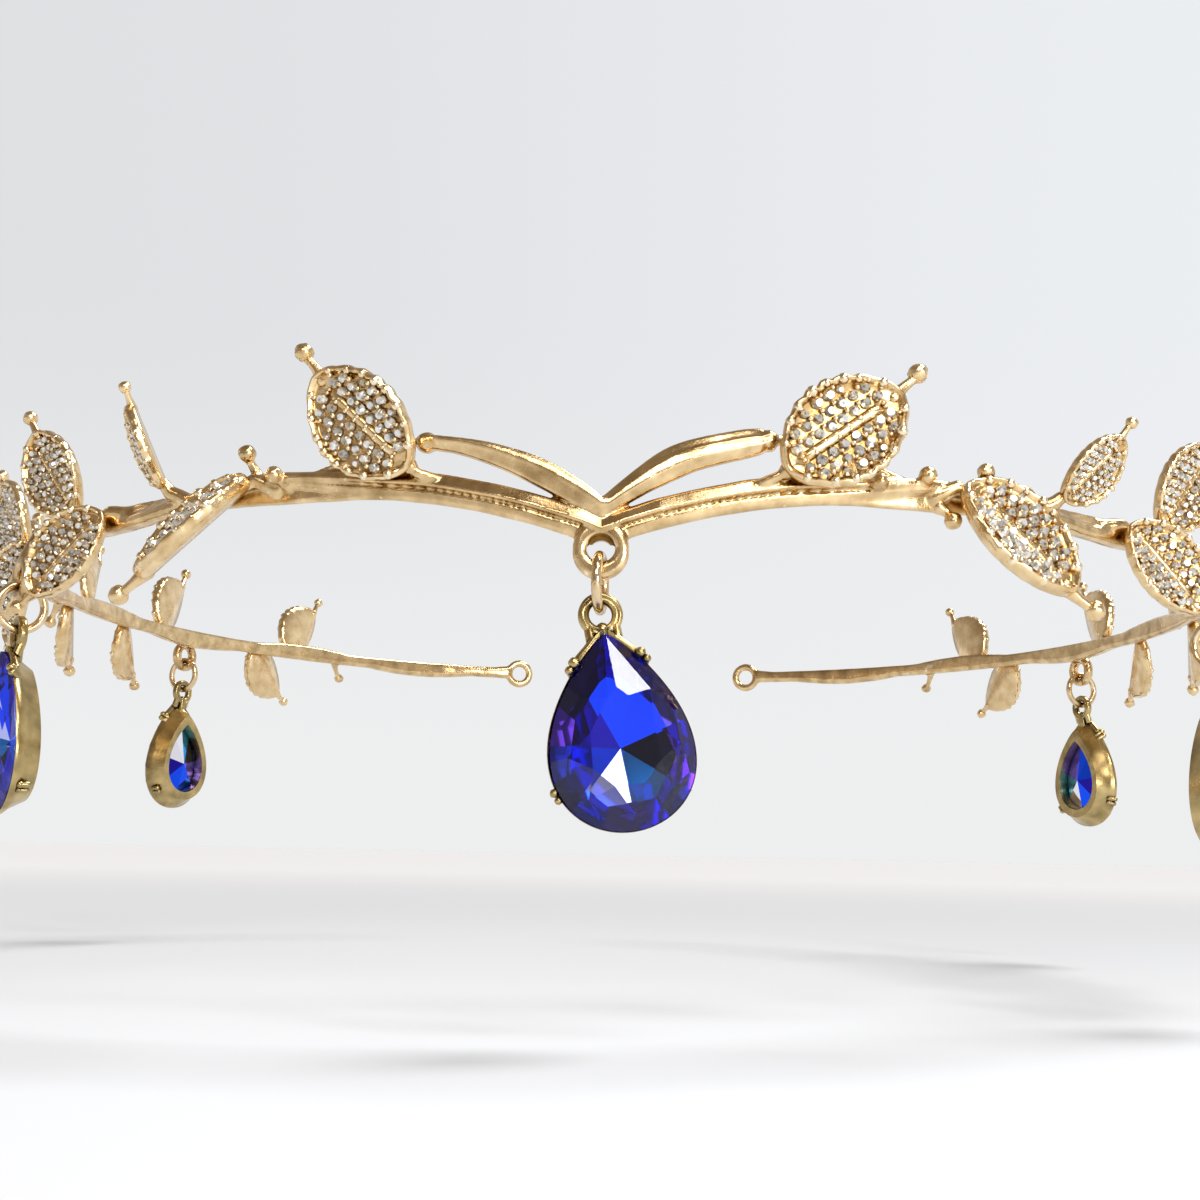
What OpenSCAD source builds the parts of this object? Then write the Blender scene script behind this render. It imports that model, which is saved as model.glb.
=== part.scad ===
// Forehead circlet: an open vine band with a split V at the front, paved leaves and hanging pear drops.
// Frame: origin at the middle of the band's level, +X to the wearer's left, -Y out of the forehead, +Z up.

/* [Circlet] */
// Half the width of the circlet, side to side
half_width = 80; // [72:1:88]
// Half the depth of the circlet, front to back
half_depth = 86; // [78:1:92]
// Angle from the front to each open end at the back
end_angle = 162; // [150:1:166]
// Height of the band's sides above its middle level
side_rise = 1.2; // [0:0.2:4]
// Depth of the V below the sides
v_depth = 5.3; // [4:0.1:7]
// Angle over which the V climbs by two thirds
v_spread = 9; // [8:0.2:14]

/* [Bars] */
// Height of the lower bar at the front
lower_bar_h = 3; // [2.4:0.1:3.6]
// Height of the upper bar
upper_bar_h = 1.9; // [1.6:0.1:2.4]
// Angle at which the upper bars end in a knob
upper_bar_end = 12; // [11:0.5:13]
// Angle at which the thin strand behind the first leaves joins the band
strand_end = 25; // [23:0.5:27]
// Rise of the right upper bar over the left one, for each degree
upper_skew = 0.05; // [0:0.01:0.08]
// Thickness of the band strip from front to back
strip_t = 1.5; // [1.2:0.1:2]

/* [Leaves] */
// Length of a full size leaf
leaf_l = 13; // [10:0.5:16]
// Half the width of a full size leaf
leaf_half_w = 4.7; // [3.5:0.1:6]
// Thickness of a leaf plate
leaf_t = 0.9; // [0.7:0.05:1.4]
// Height of the raised edge of a leaf
rim_h = 0.55; // [0.3:0.05:0.8]
// Width of the raised edge of a leaf
rim_w = 0.7; // [0.5:0.05:1]
// Rise of a leaf half for each millimetre away from the midrib
leaf_fold = 0.2; // [0:0.02:0.4]
// Radius of the ball on a twig's end
ball_r = 0.95; // [0.7:0.05:1.2]

/* [Small stones] */
// Radius of a small stone
chip_r = 0.65; // [0.5:0.05:0.75]
// Height of a small stone
chip_h = 0.6; // [0.4:0.05:0.8]
// Gap under a small stone
chip_gap = 0.06; // [0.05:0.01:0.15]

/* [Drops] */
// Width of a pear stone
pear_w = 13; // [11:0.5:14]
// Height of a pear stone
pear_h = 17.6; // [15:0.5:20]
// Height of the stone's table above its girdle
crown_h = 2.3; // [1.5:0.1:3]
// Depth of the stone below its girdle
pavilion_h = 2.6; // [2:0.1:3.2]
// Thickness of the jump ring wire
wire_d = 0.95; // [0.8:0.05:1.1]
// Outer diameter of the jump ring
jump_ring_d = 6; // [5.6:0.1:6.4]
// Running gap where one ring hangs in another
link_gap = 0.12; // [0.1:0.01:0.2]

/* [Hidden] */

gold = "#d9b36c";
crystal = "#e6e8ea";
sapphire = "#1526c4";

// Table of leaves. side: 1 right, -1 left, 0 one on each side. angle: where the stem leaves the band. up:
// height of the base over the band. rise: direction of the midrib, 0 along the band and 90 upwards. lift:
// how far the tip leans out. twist: turn about the midrib. size: share of a full size leaf. out: distance of
// the base in front of the band.
LEAF_COLUMNS = ["side", "angle", "up", "rise", "lift", "twist", "size", "out"];
LEAVES = [
  [ 1,  11.8,  1.5,   36,   4,   -6, 1.06, 2.1],
  [-1,  12.6,  1.25,  44,   6,   18, 1.02, 2.2],
  [ 1,  24.8,  1.4,  -47,  16,  -18, 1.12, 2.0],
  [-1,  25.2,  1.4,  -48,  20,  -42, 1.10, 2.0],
  [ 1,  33.5,  1.4,   50,  22,   20, 0.70, 2.0],
  [-1,  33.5,  1.4,   82,  26,   34, 0.70, 2.0],
  [ 0,  41.0,  0.4,  -52,  20,   10, 0.92, 2.0],
  [ 0,  45.5,  1.2,   56,  16,   -8, 0.90, 2.0],
  [ 0,  58.0,  0.2,  -46,  14,   10, 0.95, 2.0],
  [ 0,  62.0,  1.0,   46,  14,  -10, 0.95, 2.0],
  [ 0,  72.5,  0.2,  -44,  12,   12, 1.00, 2.0],
  [ 0,  78.0,  1.0,   44,  12,  -10, 0.95, 2.0],
  [ 0,  88.0,  0.2,  -42,  12,   12, 0.95, 2.0],
  [ 0,  93.0,  1.0,   46,  12,   -8, 0.90, 2.0],
  [ 0, 101.0,  0.2,  -46,  12,   10, 0.90, 2.0],
  [ 0, 108.0,  1.0,   44,  10,   -8, 0.95, 2.0],
  [ 0, 124.0,  0.2,  -42,  10,    8, 0.90, 2.0],
  [ 0, 129.0,  1.0,   44,  10,   -8, 0.90, 2.0]
];

// Table of bare twigs with a ball on the end. reach: length of the twig. Other columns as for the leaves.
TWIG_COLUMNS = ["side", "angle", "up", "rise", "lift", "reach"];
TWIGS = [
  [ 1,  17.6,  0.6,    0,  45, 1.0],
  [-1,  25.0,  1.2,   80,  30, 2.2],
  [ 1,  21.5,  0.8,   50,  40, 1.0],
  [-1,  22.4,  0.4,   40,  40, 1.0],
  [ 1,  26.5,  1.0,   80,  30, 1.6],
  [ 1,  23.5, -0.8,  -60,  30, 1.2],
  [ 0,  68.6,  0.25,  58,  24, 3.4],
  [ 0,  83.0, -0.4,  -60,  24, 3.4],
  [ 0, 136.0, -0.4,  -50,  20, 3.4]
];

// Table of drops. angle: place on the band, negative on the left. out: eye in front of the band. eye_z:
// height of the eye's hole. sway: tilt across the eye. turn: turn about the vertical.
DROP_COLUMNS = ["angle", "out", "eye_z", "sway", "turn"];
DROPS = [
  [   0, 0.3, -5.55, 9.5, 8],
  [  50, 5.0, -6.7,  0,   0],
  [ -50, 5.0, -4.5,  0,   0],
  [ 115, 4.5, -1.6,  0,   0],
  [-115, 4.5, -1.6,  0,   0]
];

// Winding of the vine: height of its waves and degrees of wave for each degree of band
vine_wave = 1.05;
vine_turns = 10;

// Low hump of the band beside the V: height, angle and width
shoulder_h = 0.7;
shoulder_at = 15;
shoulder_w = 8;

// Strip behind the vine: share by which it grows slimmer, and the angles between which it does so
slim_by = 0.3;
slim_from = 18;
slim_to = 30;

// Rib on the strip: reach to the front, half its height at the foot and at the crest, place on the strip at
// the front, and the angles between which it begins to wind
rib_reach = 0.75;
rib_foot = 0.75;
rib_crest = 0.4;
rib_top = 0.7;
wind_from = 14;
wind_to = 24;

// Upper bars: height at the front, rise and bend of their arch, and radius of the knobs on their ends
upper_z0 = -2.25;
upper_rise = 0.95;
upper_bend = 0.0335;
knob_r = 1.05;

// Swelling of the upper bars: share on the right and on the left, angle and spread of its middle
right_swell = 0.85;
left_swell = 0.25;
swell_at = 4.5;
swell_w = 3.5;

// Leaves: steps along a leaf, share of its teeth, half the midrib's width and its start past the edge, the
// twig past the tip and its turn, the twigs on the band, the stems and their run along the band
leaf_steps = 6;
tooth = 0.05;
rib_half_w = 0.4;
rib_start = 1.2;
leaf_twig_l = 2.6;
leaf_twig_turn = 12;
twig_r = 0.5;
twig_out = 0.5;
stem_r = 0.83;
stem_run = 1.8;

// Rows of small stones on the first leaves of the table: first stone, spacing, shift of the second row,
// distance of the first row from the midrib, gaps to the raised edge and to the tip, and the share of a
// stone's table
paved_leaves = 4;
chip_first = 2.3;
chip_pitch = 1.5;
chip_shift = 0.8;
chip_row = 1.25;
chip_edge_gap = 0.12;
chip_tip_gap = 1.8;
chip_table = 0.55;

// Eye under the band
eye_r = 1.95;
eye_tube_r = 0.65;
eye_hole_r = eye_r - eye_tube_r;
arm_r = 0.95;
elbow_share = 0.75;
elbow_down = 0.8;

// Loops on the band's open ends, and how far past the band their centres lie
end_loop_r = 2.2;
end_wire_r = 0.75;
end_loop_past = 1.6;

// Jump ring and the loop on the setting
wire_r = wire_d / 2;
jump_r = jump_ring_d / 2 - wire_r;
loop_r = 1.55;
loop_tube_r = 0.5;
ring_down = eye_hole_r - link_gap + jump_r - wire_r;
loop_down = ring_down + jump_r - wire_r + (loop_r - loop_tube_r) - link_gap;

// Places of the stone in the setting, from the loop's centre
tip_down = 2.05;
stone_out = 1.25;

// Stone: girdle facets, fullness of the outline and its greatest value, share of the height at the stone's
// middle, girdle thickness and the shares of its facet rings
pear_steps = 16;
pear_power = 0.7;
pear_peak = 0.821;
pear_mid = 0.58;
girdle_t = 0.25;
crown_share = 0.78;
crown_at = 0.62;
table_share = 0.5;
back_share = 0.6;
back_at = 0.62;

// Cup: wall, gap round the stone, floor, height of its straight edge, share of the stone's outline at its
// back, and width, length and place below the stone's tip of the neck that joins it to the loop
cup_wall = 0.28;
cup_gap = 0.06;
cup_floor = 0.35;
bezel_h = 0.6;
cup_back = 0.82;
neck_w = 1.9;
neck_l = 1.6;
neck_at = 0.5;

// Claws: angles on the pear's outline, half the angle of a pair, reach out of the stone's edge and radius of
// a ball
claw_at = [40, 134, 226, 312];
claw_spread = 4;
claw_out = 0.55;
claw_r = 0.6;

// One named value of a table's row
function cell(row, columns, name) = row[search([name], columns)[0]];
function leaf_cell(row, name) = cell(row, LEAF_COLUMNS, name);
function twig_cell(row, name) = cell(row, TWIG_COLUMNS, name);
function drop_cell(row, name) = cell(row, DROP_COLUMNS, name);

// Band functions. a: angle from the front, positive to the right.
function band_z(a) =
  let (b = abs(a), off = (b - shoulder_at) / shoulder_w)
  side_rise - v_depth * exp(-b / v_spread) + shoulder_h * exp(-off * off);
function upper_z(a) =
  let (
    b = abs(a),
    joined = ease(b, upper_bar_end, strand_end),
    arch = upper_z0 + upper_rise * b - upper_bend * b * b + upper_skew * a
  )
  arch * (1 - joined) + (band_z(a) + 0.6) * joined;
function upper_h(a) =
  let (off = (abs(a) - swell_at) / swell_w)
  upper_bar_h * (1 + (a > 0 ? right_swell : left_swell) * exp(-off * off));
function heading(a) = atan2(half_depth * sin(a), half_width * cos(a));
function on_band(a, out, z) =
  [half_width * sin(a) + out * sin(heading(a)), -half_depth * cos(a) - out * cos(heading(a)), z];

// Eases from 0 at lo to 1 at hi
function ease(x, lo, hi) = let (t = min(1, max(0, (x - lo) / (hi - lo)))) t * t * (3 - 2 * t);

// Closed faces of a sweep: rings of points, one after another, each of the same count
function sweep_faces(rings, sides) = concat(
  [[for (k = [0 : sides - 1]) k]],
  [for (r = [0 : rings - 2], k = [0 : sides - 1])
    let (n = (k + 1) % sides)
    [r * sides + k, (r + 1) * sides + k, (r + 1) * sides + n, r * sides + n]],
  [[for (k = [sides - 1 : -1 : 0]) (rings - 1) * sides + k]]
);

module sweep(rings) {
  points = [for (ring = rings) for (p = ring) p];
  polyhedron(points, sweep_faces(len(rings), len(rings[0])), convexity = 8);
}

// A closed ring of wire lying in the XY plane
module wire_ring(r, wire, sides, wire_sides) {
  points = [for (i = [0 : sides - 1], k = [0 : wire_sides - 1])
    let (t = 360 * i / sides, s = 360 * (k + 0.5) / wire_sides)
    [(r + wire * cos(s)) * cos(t), (r + wire * cos(s)) * sin(t), wire * sin(s)]];
  faces = [for (i = [0 : sides - 1], k = [0 : wire_sides - 1])
    let (j = (i + 1) % sides, n = (k + 1) % wire_sides)
    [i * wire_sides + k, i * wire_sides + n, j * wire_sides + n, j * wire_sides + k]];
  polyhedron(points, faces, convexity = 4);
}

// Places its children on the band: x along the band away from the front on the right, y up, z outwards
module on_face(a, out, z) {
  translate(on_band(a, out, z)) rotate([90, 0, heading(a)]) children();
}

module on_side(side) {
  if (side < 0) mirror([1, 0, 0]) children();
  else children();
}

// Sides that a row of a table stands for
function sides_of(side) = side == 0 ? [-1, 1] : [side];

// Puts a leaf or twig where its row says, with x along its midrib
module on_stem(angle, up, rise, lift, out) {
  on_face(angle, out, band_z(angle) + up) rotate([0, 0, rise]) rotate([0, -lift, 0]) children();
}

module on_leaf(row) {
  for (side = sides_of(leaf_cell(row, "side"))) on_side(side)
    on_stem(
      leaf_cell(row, "angle"), leaf_cell(row, "up"), leaf_cell(row, "rise"), leaf_cell(row, "lift"),
      leaf_cell(row, "out")
    ) rotate([leaf_cell(row, "twist"), 0, 0]) scale(leaf_cell(row, "size")) children();
}

module on_twig(row) {
  for (side = sides_of(twig_cell(row, "side"))) on_side(side)
    on_stem(
      twig_cell(row, "angle"), twig_cell(row, "up"), twig_cell(row, "rise"), twig_cell(row, "lift"), twig_out
    ) children();
}

// Band strip. Its rib runs along the top edge at the front and further back winds up and down as a vine.
function strip_ring(a) =
  let (
    b = abs(a),
    tall = lower_bar_h / 2 * (1 - slim_by * ease(b, slim_from, slim_to)),
    wind = ease(b, wind_from, wind_to),
    rib_at = rib_top * (1 - wind) + wind * vine_wave * sin(vine_turns * (b - wind_from)),
    rib = rib_reach - 0.1 * wind,
    low = min(-tall, rib_at - rib_foot * wind),
    high = max(tall, rib_at + rib_foot * wind),
    back = -strip_t / 2,
    front = strip_t / 2 - 0.15,
    z = band_z(a)
  )
  [for (p = [
    [back, low + 0.3], [front - 0.15, low], [front, rib_at - rib_foot], [front + rib, rib_at - rib_crest],
    [front + rib, rib_at + rib_crest], [front + 0.1, rib_at + rib_foot + 0.03], [front - 0.45, high],
    [back, high - 0.25]
  ]) on_band(a, p[0], z + p[1])];

module band_strip() {
  angles = concat([for (a = [0 : 2 : 14]) a], [for (a = [19 : 5 : end_angle - 2]) a], [end_angle]);
  sweep(concat(
    [for (i = [len(angles) - 1 : -1 : 1]) strip_ring(angles[i])],
    [for (a = angles) strip_ring(-a)]
  ));
}

// Upper bar with a ridge along its front
function upper_ring(a) =
  let (h = upper_h(a) / 2, slim = 1 - 0.45 * ease(abs(a), upper_bar_end - 1, upper_bar_end + 1))
  [for (p = [[-0.7, -0.6], [0.2, -1], [1.1, -0.3], [1.15, 0.25], [0.5, 0.95], [-0.7, 0.7]])
    on_band(a, p[0] * slim + 0.13, upper_z(a) + p[1] * h * slim)];

module upper_bars() {
  bar_steps = 7;
  strand_steps = 5;
  reach = strand_end - upper_bar_end - 1;
  angles = concat(
    [for (i = [0 : bar_steps]) upper_bar_end * i / bar_steps],
    [for (i = [0 : strand_steps]) upper_bar_end + 1 + reach * i / strand_steps]
  );
  sweep(concat(
    [for (i = [len(angles) - 1 : -1 : 1]) upper_ring(angles[i])],
    [for (a = angles) upper_ring(-a)]
  ));
}

// Outline of a leaf: half its width at share t of its length
function leaf_half(t) = pow(max(0, sin(180 * pow(t, 0.95))), 0.6);
function leaf_loop(inset, z, teeth) = [for (j = [0 : 2 * leaf_steps - 1])
  let (
    i = j <= leaf_steps ? j : 2 * leaf_steps - j,
    s = j <= leaf_steps ? -1 : 1,
    wide = 1 + teeth * (i % 2 == 0 ? -1 : 1),
    y = s * (leaf_half_w - inset) * leaf_half(i / leaf_steps) * wide
  )
  [inset + (leaf_l - 2 * inset) * i / leaf_steps, y, z + leaf_fold * abs(y)]];

// Leaf plate with toothed raised edge and raised midrib: outer edge below, crest of the edge, floor, midrib
module leaf_plate() {
  m = 2 * leaf_steps;
  first = rim_w + rib_start;
  last = leaf_l - first;
  points = concat(
    leaf_loop(0, -leaf_t, tooth), leaf_loop(0.2, rim_h, tooth), leaf_loop(rim_w, 0, 0),
    [for (x = [first, last], side = [-1, 0, 1])
      [x, side * rib_half_w, side == 0 ? 0.9 * rim_h : leaf_fold * rib_half_w]]
  );
  floor_at = 2 * m;
  rib = 3 * m;
  base = floor_at;
  tip = floor_at + leaf_steps;
  faces = concat(
    [[for (i = [0 : leaf_steps]) i], concat([for (i = [leaf_steps : m - 1]) i], [0])],
    [for (q = [0, 1], j = [0 : m - 1])
      let (n = (j + 1) % m)
      [(q + 1) * m + j, (q + 1) * m + n, q * m + n, q * m + j]],
    [concat([for (i = [leaf_steps - 1 : -1 : 1]) floor_at + i], [rib, rib + 3])],
    [concat([for (i = [m - 1 : -1 : leaf_steps + 1]) floor_at + i], [rib + 5, rib + 2])],
    [[base, rib, base + 1], [base, base + m - 1, rib + 2], [tip, tip - 1, rib + 3], [tip, rib + 5, tip + 1]],
    [[base, rib + 1, rib], [base, rib + 2, rib + 1], [tip, rib + 3, rib + 4], [tip, rib + 4, rib + 5]],
    [[rib, rib + 1, rib + 4, rib + 3], [rib + 1, rib + 2, rib + 5, rib + 4]]
  );
  polyhedron(points, faces, convexity = 6);
}

// Tapered twig along x with a ball on its end
module twig(reach, r) {
  ball = reach + 0.8 * ball_r;
  places = [0, reach, ball, ball + 0.85 * ball_r];
  radii = [r, 0.75 * r, 1.05 * ball_r, 0.5 * ball_r];
  sides = 5;
  sweep([for (i = [0 : len(places) - 1]) [for (k = [0 : sides - 1])
    let (t = 360 * k / sides)
    [places[i], radii[i] * cos(t), radii[i] * sin(t)]]]);
}

module leaf() {
  leaf_plate();
  translate([leaf_l - leaf_t, 0, -leaf_t / 2]) rotate([0, 0, leaf_twig_turn]) twig(leaf_twig_l, twig_r);
}

// Stem from inside the strip to the base of a leaf
module stem(row) {
  angle = leaf_cell(row, "angle");
  root = angle - stem_run;
  for (side = sides_of(leaf_cell(row, "side"))) on_side(side) hull() {
    translate(on_band(root, 0.3, band_z(root))) sphere(stem_r, $fn = 4);
    translate(on_band(angle, leaf_cell(row, "out") - 0.5, band_z(angle) + leaf_cell(row, "up")))
      sphere(stem_r, $fn = 4);
  }
}

// Eye that a drop hangs from, and the arm that carries it outside the band
module eye(i) {
  on_eye(i) wire_ring(eye_r, eye_tube_r, 12, 6);
}

module eye_arm(i) {
  angle = drop_cell(DROPS[i], "angle");
  out = drop_cell(DROPS[i], "out");
  elbow = on_band(angle, out * elbow_share, band_z(angle) - elbow_down);
  hull() {
    translate(on_band(angle, 0, band_z(angle))) sphere(arm_r, $fn = 4);
    translate(elbow) sphere(arm_r, $fn = 4);
  }
  hull() {
    translate(elbow) sphere(arm_r, $fn = 4);
    translate(on_band(angle, out, drop_cell(DROPS[i], "eye_z") + eye_r)) sphere(0.9 * arm_r, $fn = 4);
  }
}

module end_loop(side) {
  on_face(side * (end_angle + end_loop_past), 0, band_z(end_angle)) wire_ring(end_loop_r, end_wire_r, 12, 5);
}

module circlet() {
  color(gold) difference() {
    union() {
      band_strip();
      upper_bars();
      for (side = [-1, 1]) {
        end_loop(side);
        translate(on_band(side * upper_bar_end, 0.3, upper_z(side * upper_bar_end))) sphere(knob_r, $fn = 8);
      }
      for (row = LEAVES) {
        stem(row);
        on_leaf(row) leaf();
      }
      for (row = TWIGS) on_twig(row) twig(twig_cell(row, "reach"), twig_r);
      for (i = [0 : len(DROPS) - 1]) eye(i);
      for (i = [1 : len(DROPS) - 1]) eye_arm(i);
    }
    // The front eye is drilled through the band
    on_eye(0) cylinder(r = eye_hole_r, h = 8, center = true, $fn = 16);
  }
}

// Small stones in rows on both halves of a leaf
function stone_spots() = [for (s = [-1, 1], row = [0, 1], k = [0 : 7])
  let (
    x = chip_first + row * chip_shift + k * chip_pitch,
    y = chip_row + row * chip_pitch,
    room = (leaf_half_w - rim_w) * leaf_half(min(1, (x + 0.3) / leaf_l)) - chip_edge_gap
  )
  if (y + chip_r < room && x < leaf_l - chip_tip_gap) [x, s * y]];

module chip_field() {
  sides = 8;
  spots = stone_spots();
  lean = atan(leaf_fold);
  points = [for (p = spots) let (s = p[1] < 0 ? -1 : 1) for (level = [0, 1], k = [0 : sides - 1])
    let (
      t = 360 * (k + 0.5) / sides,
      r = chip_r * (level == 0 ? 1 : chip_table),
      h = chip_gap + chip_h * level,
      u = r * cos(t),
      v = r * sin(t)
    )
    [
      p[0] + u,
      p[1] + v * cos(lean) - s * h * sin(lean),
      leaf_fold * abs(p[1]) + s * v * sin(lean) + h * cos(lean)
    ]];
  faces = [for (n = [0 : len(spots) - 1]) let (o = n * 2 * sides) each concat(
    [[for (k = [0 : sides - 1]) o + k]],
    [for (k = [0 : sides - 1])
      let (m = (k + 1) % sides)
      [o + sides + k, o + sides + m, o + m, o + k]],
    [[for (k = [sides - 1 : -1 : 0]) o + sides + k]]
  )];
  polyhedron(points, faces, convexity = 10);
}

module leaf_stones() {
  color(crystal) for (i = [0 : paved_leaves - 1]) on_leaf(LEAVES[i]) chip_field();
}

// Drop frame: origin at the centre of the eye's hole, x along the band, y up, z outwards
module on_eye(i) {
  on_face(drop_cell(DROPS[i], "angle"), drop_cell(DROPS[i], "out"), drop_cell(DROPS[i], "eye_z")) children();
}

// Setting frame: origin at the centre of the loop, tilted about the wire that it hangs on
module on_loop(i) {
  wire_at = ring_down + jump_r;
  on_eye(i) translate([0, -wire_at, 0])
    rotate([0, 0, drop_cell(DROPS[i], "sway")]) rotate([0, drop_cell(DROPS[i], "turn"), 0])
    translate([0, wire_at - loop_down, 0]) children();
}

module jump_ring(i) {
  color(gold) on_eye(i) translate([0, -ring_down, 0]) rotate([0, 90, 0]) wire_ring(jump_r, wire_r, 16, 5);
}

// Pear outline at angle t, 0 at the tip and 180 at the bottom, at a share k of full size about the stone's
// middle
function pear_point(t, k, grow = 0) =
  let (u = t > 180 ? 360 - t : t, s = t > 180 ? -1 : 1)
  [
    s * (k * pear_w / 2 + grow) * sin(u) * pow(sin(u / 2), pear_power) / pear_peak,
    -tip_down - pear_h * (pear_mid + ((1 - cos(u)) / 2 - pear_mid) * (k + 2 * grow / pear_h))
  ];
function pear_ring(n, k, z, shift = 0, grow = 0) =
  [for (i = [0 : n - 1]) let (p = pear_point(360 * (i + shift) / n, k, grow)) [p[0], p[1], z]];

// Brilliant cut pear: table, eight stars, eight kites and sixteen girdle facets, over a folded back
module pear(i) {
  n = pear_steps;
  h = n / 2;
  points = concat(
    pear_ring(n, 1, stone_out - girdle_t / 2), pear_ring(n, 1, stone_out + girdle_t / 2),
    pear_ring(h, crown_share, stone_out + crown_h * crown_at, 0.5),
    pear_ring(h, table_share, stone_out + crown_h),
    pear_ring(h, back_share, stone_out - pavilion_h * back_at, 0.5),
    [[0, -tip_down - pear_h * pear_mid, stone_out - pavilion_h]]
  );
  mid = 2 * n;
  top = mid + h;
  low = top + h;
  culet = low + h;
  faces = concat(
    [for (k = [0 : n - 1]) let (m = (k + 1) % n) [k, m, n + m, n + k]],
    [for (k = [0 : h - 1]) [n + 2 * k, n + 2 * k + 1, mid + k]],
    [for (k = [0 : h - 1]) [n + 2 * k + 1, n + (2 * k + 2) % n, mid + k]],
    [for (k = [0 : h - 1])
      let (b = (k + h - 1) % h)
      each [[n + 2 * k, mid + k, top + k], [n + 2 * k, top + k, mid + b]]],
    [for (k = [0 : h - 1]) [mid + k, top + (k + 1) % h, top + k]],
    [[for (k = [0 : h - 1]) top + k]],
    [for (k = [0 : h - 1]) [2 * k, low + k, 2 * k + 1]],
    [for (k = [0 : h - 1]) [2 * k + 1, low + k, (2 * k + 2) % n]],
    [for (k = [0 : h - 1]) let (b = (k + h - 1) % h) each [[2 * k, culet, low + k], [2 * k, low + b, culet]]]
  );
  color(sapphire) on_loop(i) polyhedron(points, faces, convexity = 4);
}

// Cup that follows the back of the stone: rings from its floor inside, round its rim and down to its back
module cup() {
  n = pear_steps;
  floor_z = stone_out - pavilion_h - 2 * cup_gap;
  sweep([
    pear_ring(n, back_share / 2, floor_z),
    pear_ring(n, back_share, stone_out - pavilion_h * back_at - cup_gap, 0, 1.5 * cup_gap),
    pear_ring(n, 1, stone_out - girdle_t / 2, 0, cup_gap),
    pear_ring(n, 1, stone_out, 0, cup_gap),
    pear_ring(n, 1, stone_out, 0, cup_gap + cup_wall),
    pear_ring(n, 1, stone_out - bezel_h, 0, cup_gap + cup_wall),
    pear_ring(n, cup_back, floor_z - cup_floor)
  ]);
}

// Pair of balls that holds the stone's edge
module claw(t) {
  for (e = [-claw_spread, claw_spread]) {
    p = pear_point(t + e, 1, claw_out);
    translate([p[0], p[1], stone_out - girdle_t / 2]) sphere(claw_r, $fn = 4);
  }
}

// Cup with its claws and the loop on top
module setting(i) {
  color(gold) on_loop(i) {
    cup();
    wire_ring(loop_r, loop_tube_r, 12, 5);
    translate([0, -tip_down - neck_at, 0]) cube([neck_w, neck_l, 1.8 * loop_tube_r], center = true);
    for (t = claw_at) claw(t);
  }
}

circlet();
leaf_stones();
jump_ring(0);  // jump_ring_front
setting(0);  // setting_front
pear(0);  // pear_front
jump_ring(1);  // jump_ring_right
setting(1);  // setting_right
pear(1);  // pear_right
jump_ring(2);  // jump_ring_left
setting(2);  // setting_left
pear(2);  // pear_left
jump_ring(3);  // jump_ring_back_right
setting(3);  // setting_back_right
pear(3);  // pear_back_right
jump_ring(4);  // jump_ring_back_left
setting(4);  // setting_back_left
pear(4);  // pear_back_left
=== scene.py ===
import math
import random

import bmesh
import bpy
from mathutils import Matrix, Vector, noise


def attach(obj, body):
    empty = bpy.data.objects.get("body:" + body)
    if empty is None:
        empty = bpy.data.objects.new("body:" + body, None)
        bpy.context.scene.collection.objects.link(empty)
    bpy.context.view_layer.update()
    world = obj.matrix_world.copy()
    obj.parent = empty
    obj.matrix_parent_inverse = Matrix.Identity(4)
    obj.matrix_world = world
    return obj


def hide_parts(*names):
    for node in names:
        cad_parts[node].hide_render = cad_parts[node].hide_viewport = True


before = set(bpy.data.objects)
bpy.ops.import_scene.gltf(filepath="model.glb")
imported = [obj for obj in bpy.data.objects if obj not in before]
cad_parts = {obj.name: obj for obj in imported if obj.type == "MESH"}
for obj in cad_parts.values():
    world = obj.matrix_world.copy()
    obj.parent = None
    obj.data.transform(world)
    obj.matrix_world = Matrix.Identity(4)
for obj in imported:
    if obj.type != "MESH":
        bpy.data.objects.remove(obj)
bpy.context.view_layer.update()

mm = 0.001
scene = bpy.context.scene

# Form of the ring: sizes in millimetres, angles in degrees from the front, positive to the right
ringForm = {
    "halfWidth": 80, "halfDepth": 86, "endAngle": 162, "sideRise": 1.2, "vDepth": 5.3, "vSpread": 9,
    "shoulder": (0.7, 15, 8),  # a hump's height, angle and spread, here and below
}


def sinD(angle):
    return math.sin(math.radians(angle))


def cosD(angle):
    return math.cos(math.radians(angle))


def ease(x, low, high):
    t = min(1, max(0, (x - low) / (high - low)))
    return t * t * (3 - 2 * t)


def hump(x, height, middle, spread):
    return height * math.exp(-((x - middle) / spread) ** 2)


def tableOf(columns, rows):
    return [dict(zip(columns.split(), row)) for row in rows]


def bandHeight(angle):
    a, form = abs(angle), ringForm
    return form["sideRise"] - form["vDepth"] * math.exp(-a / form["vSpread"]) + hump(a, *form["shoulder"])


def heading(angle):
    return math.atan2(ringForm["halfDepth"] * sinD(angle), ringForm["halfWidth"] * cosD(angle))


def onBand(angle, out, z):
    h = heading(angle)
    x = ringForm["halfWidth"] * sinD(angle) + out * math.sin(h)
    y = -ringForm["halfDepth"] * cosD(angle) - out * math.cos(h)
    return Vector((x, y, z))


def faceFrame(angle, out, z):
    # x along the band, y up, z out of the ring
    h = heading(angle)
    turn = Matrix((
        (math.cos(h), 0, math.sin(h)),
        (math.sin(h), 0, -math.cos(h)),
        (0, 1, 0),
    )).to_4x4()
    return Matrix.Translation(onBand(angle, out, z)) @ turn


# Mesh helpers: a shape is a list of points in millimetres and a list of faces
def newShape():
    return {"points": [], "faces": []}


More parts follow.
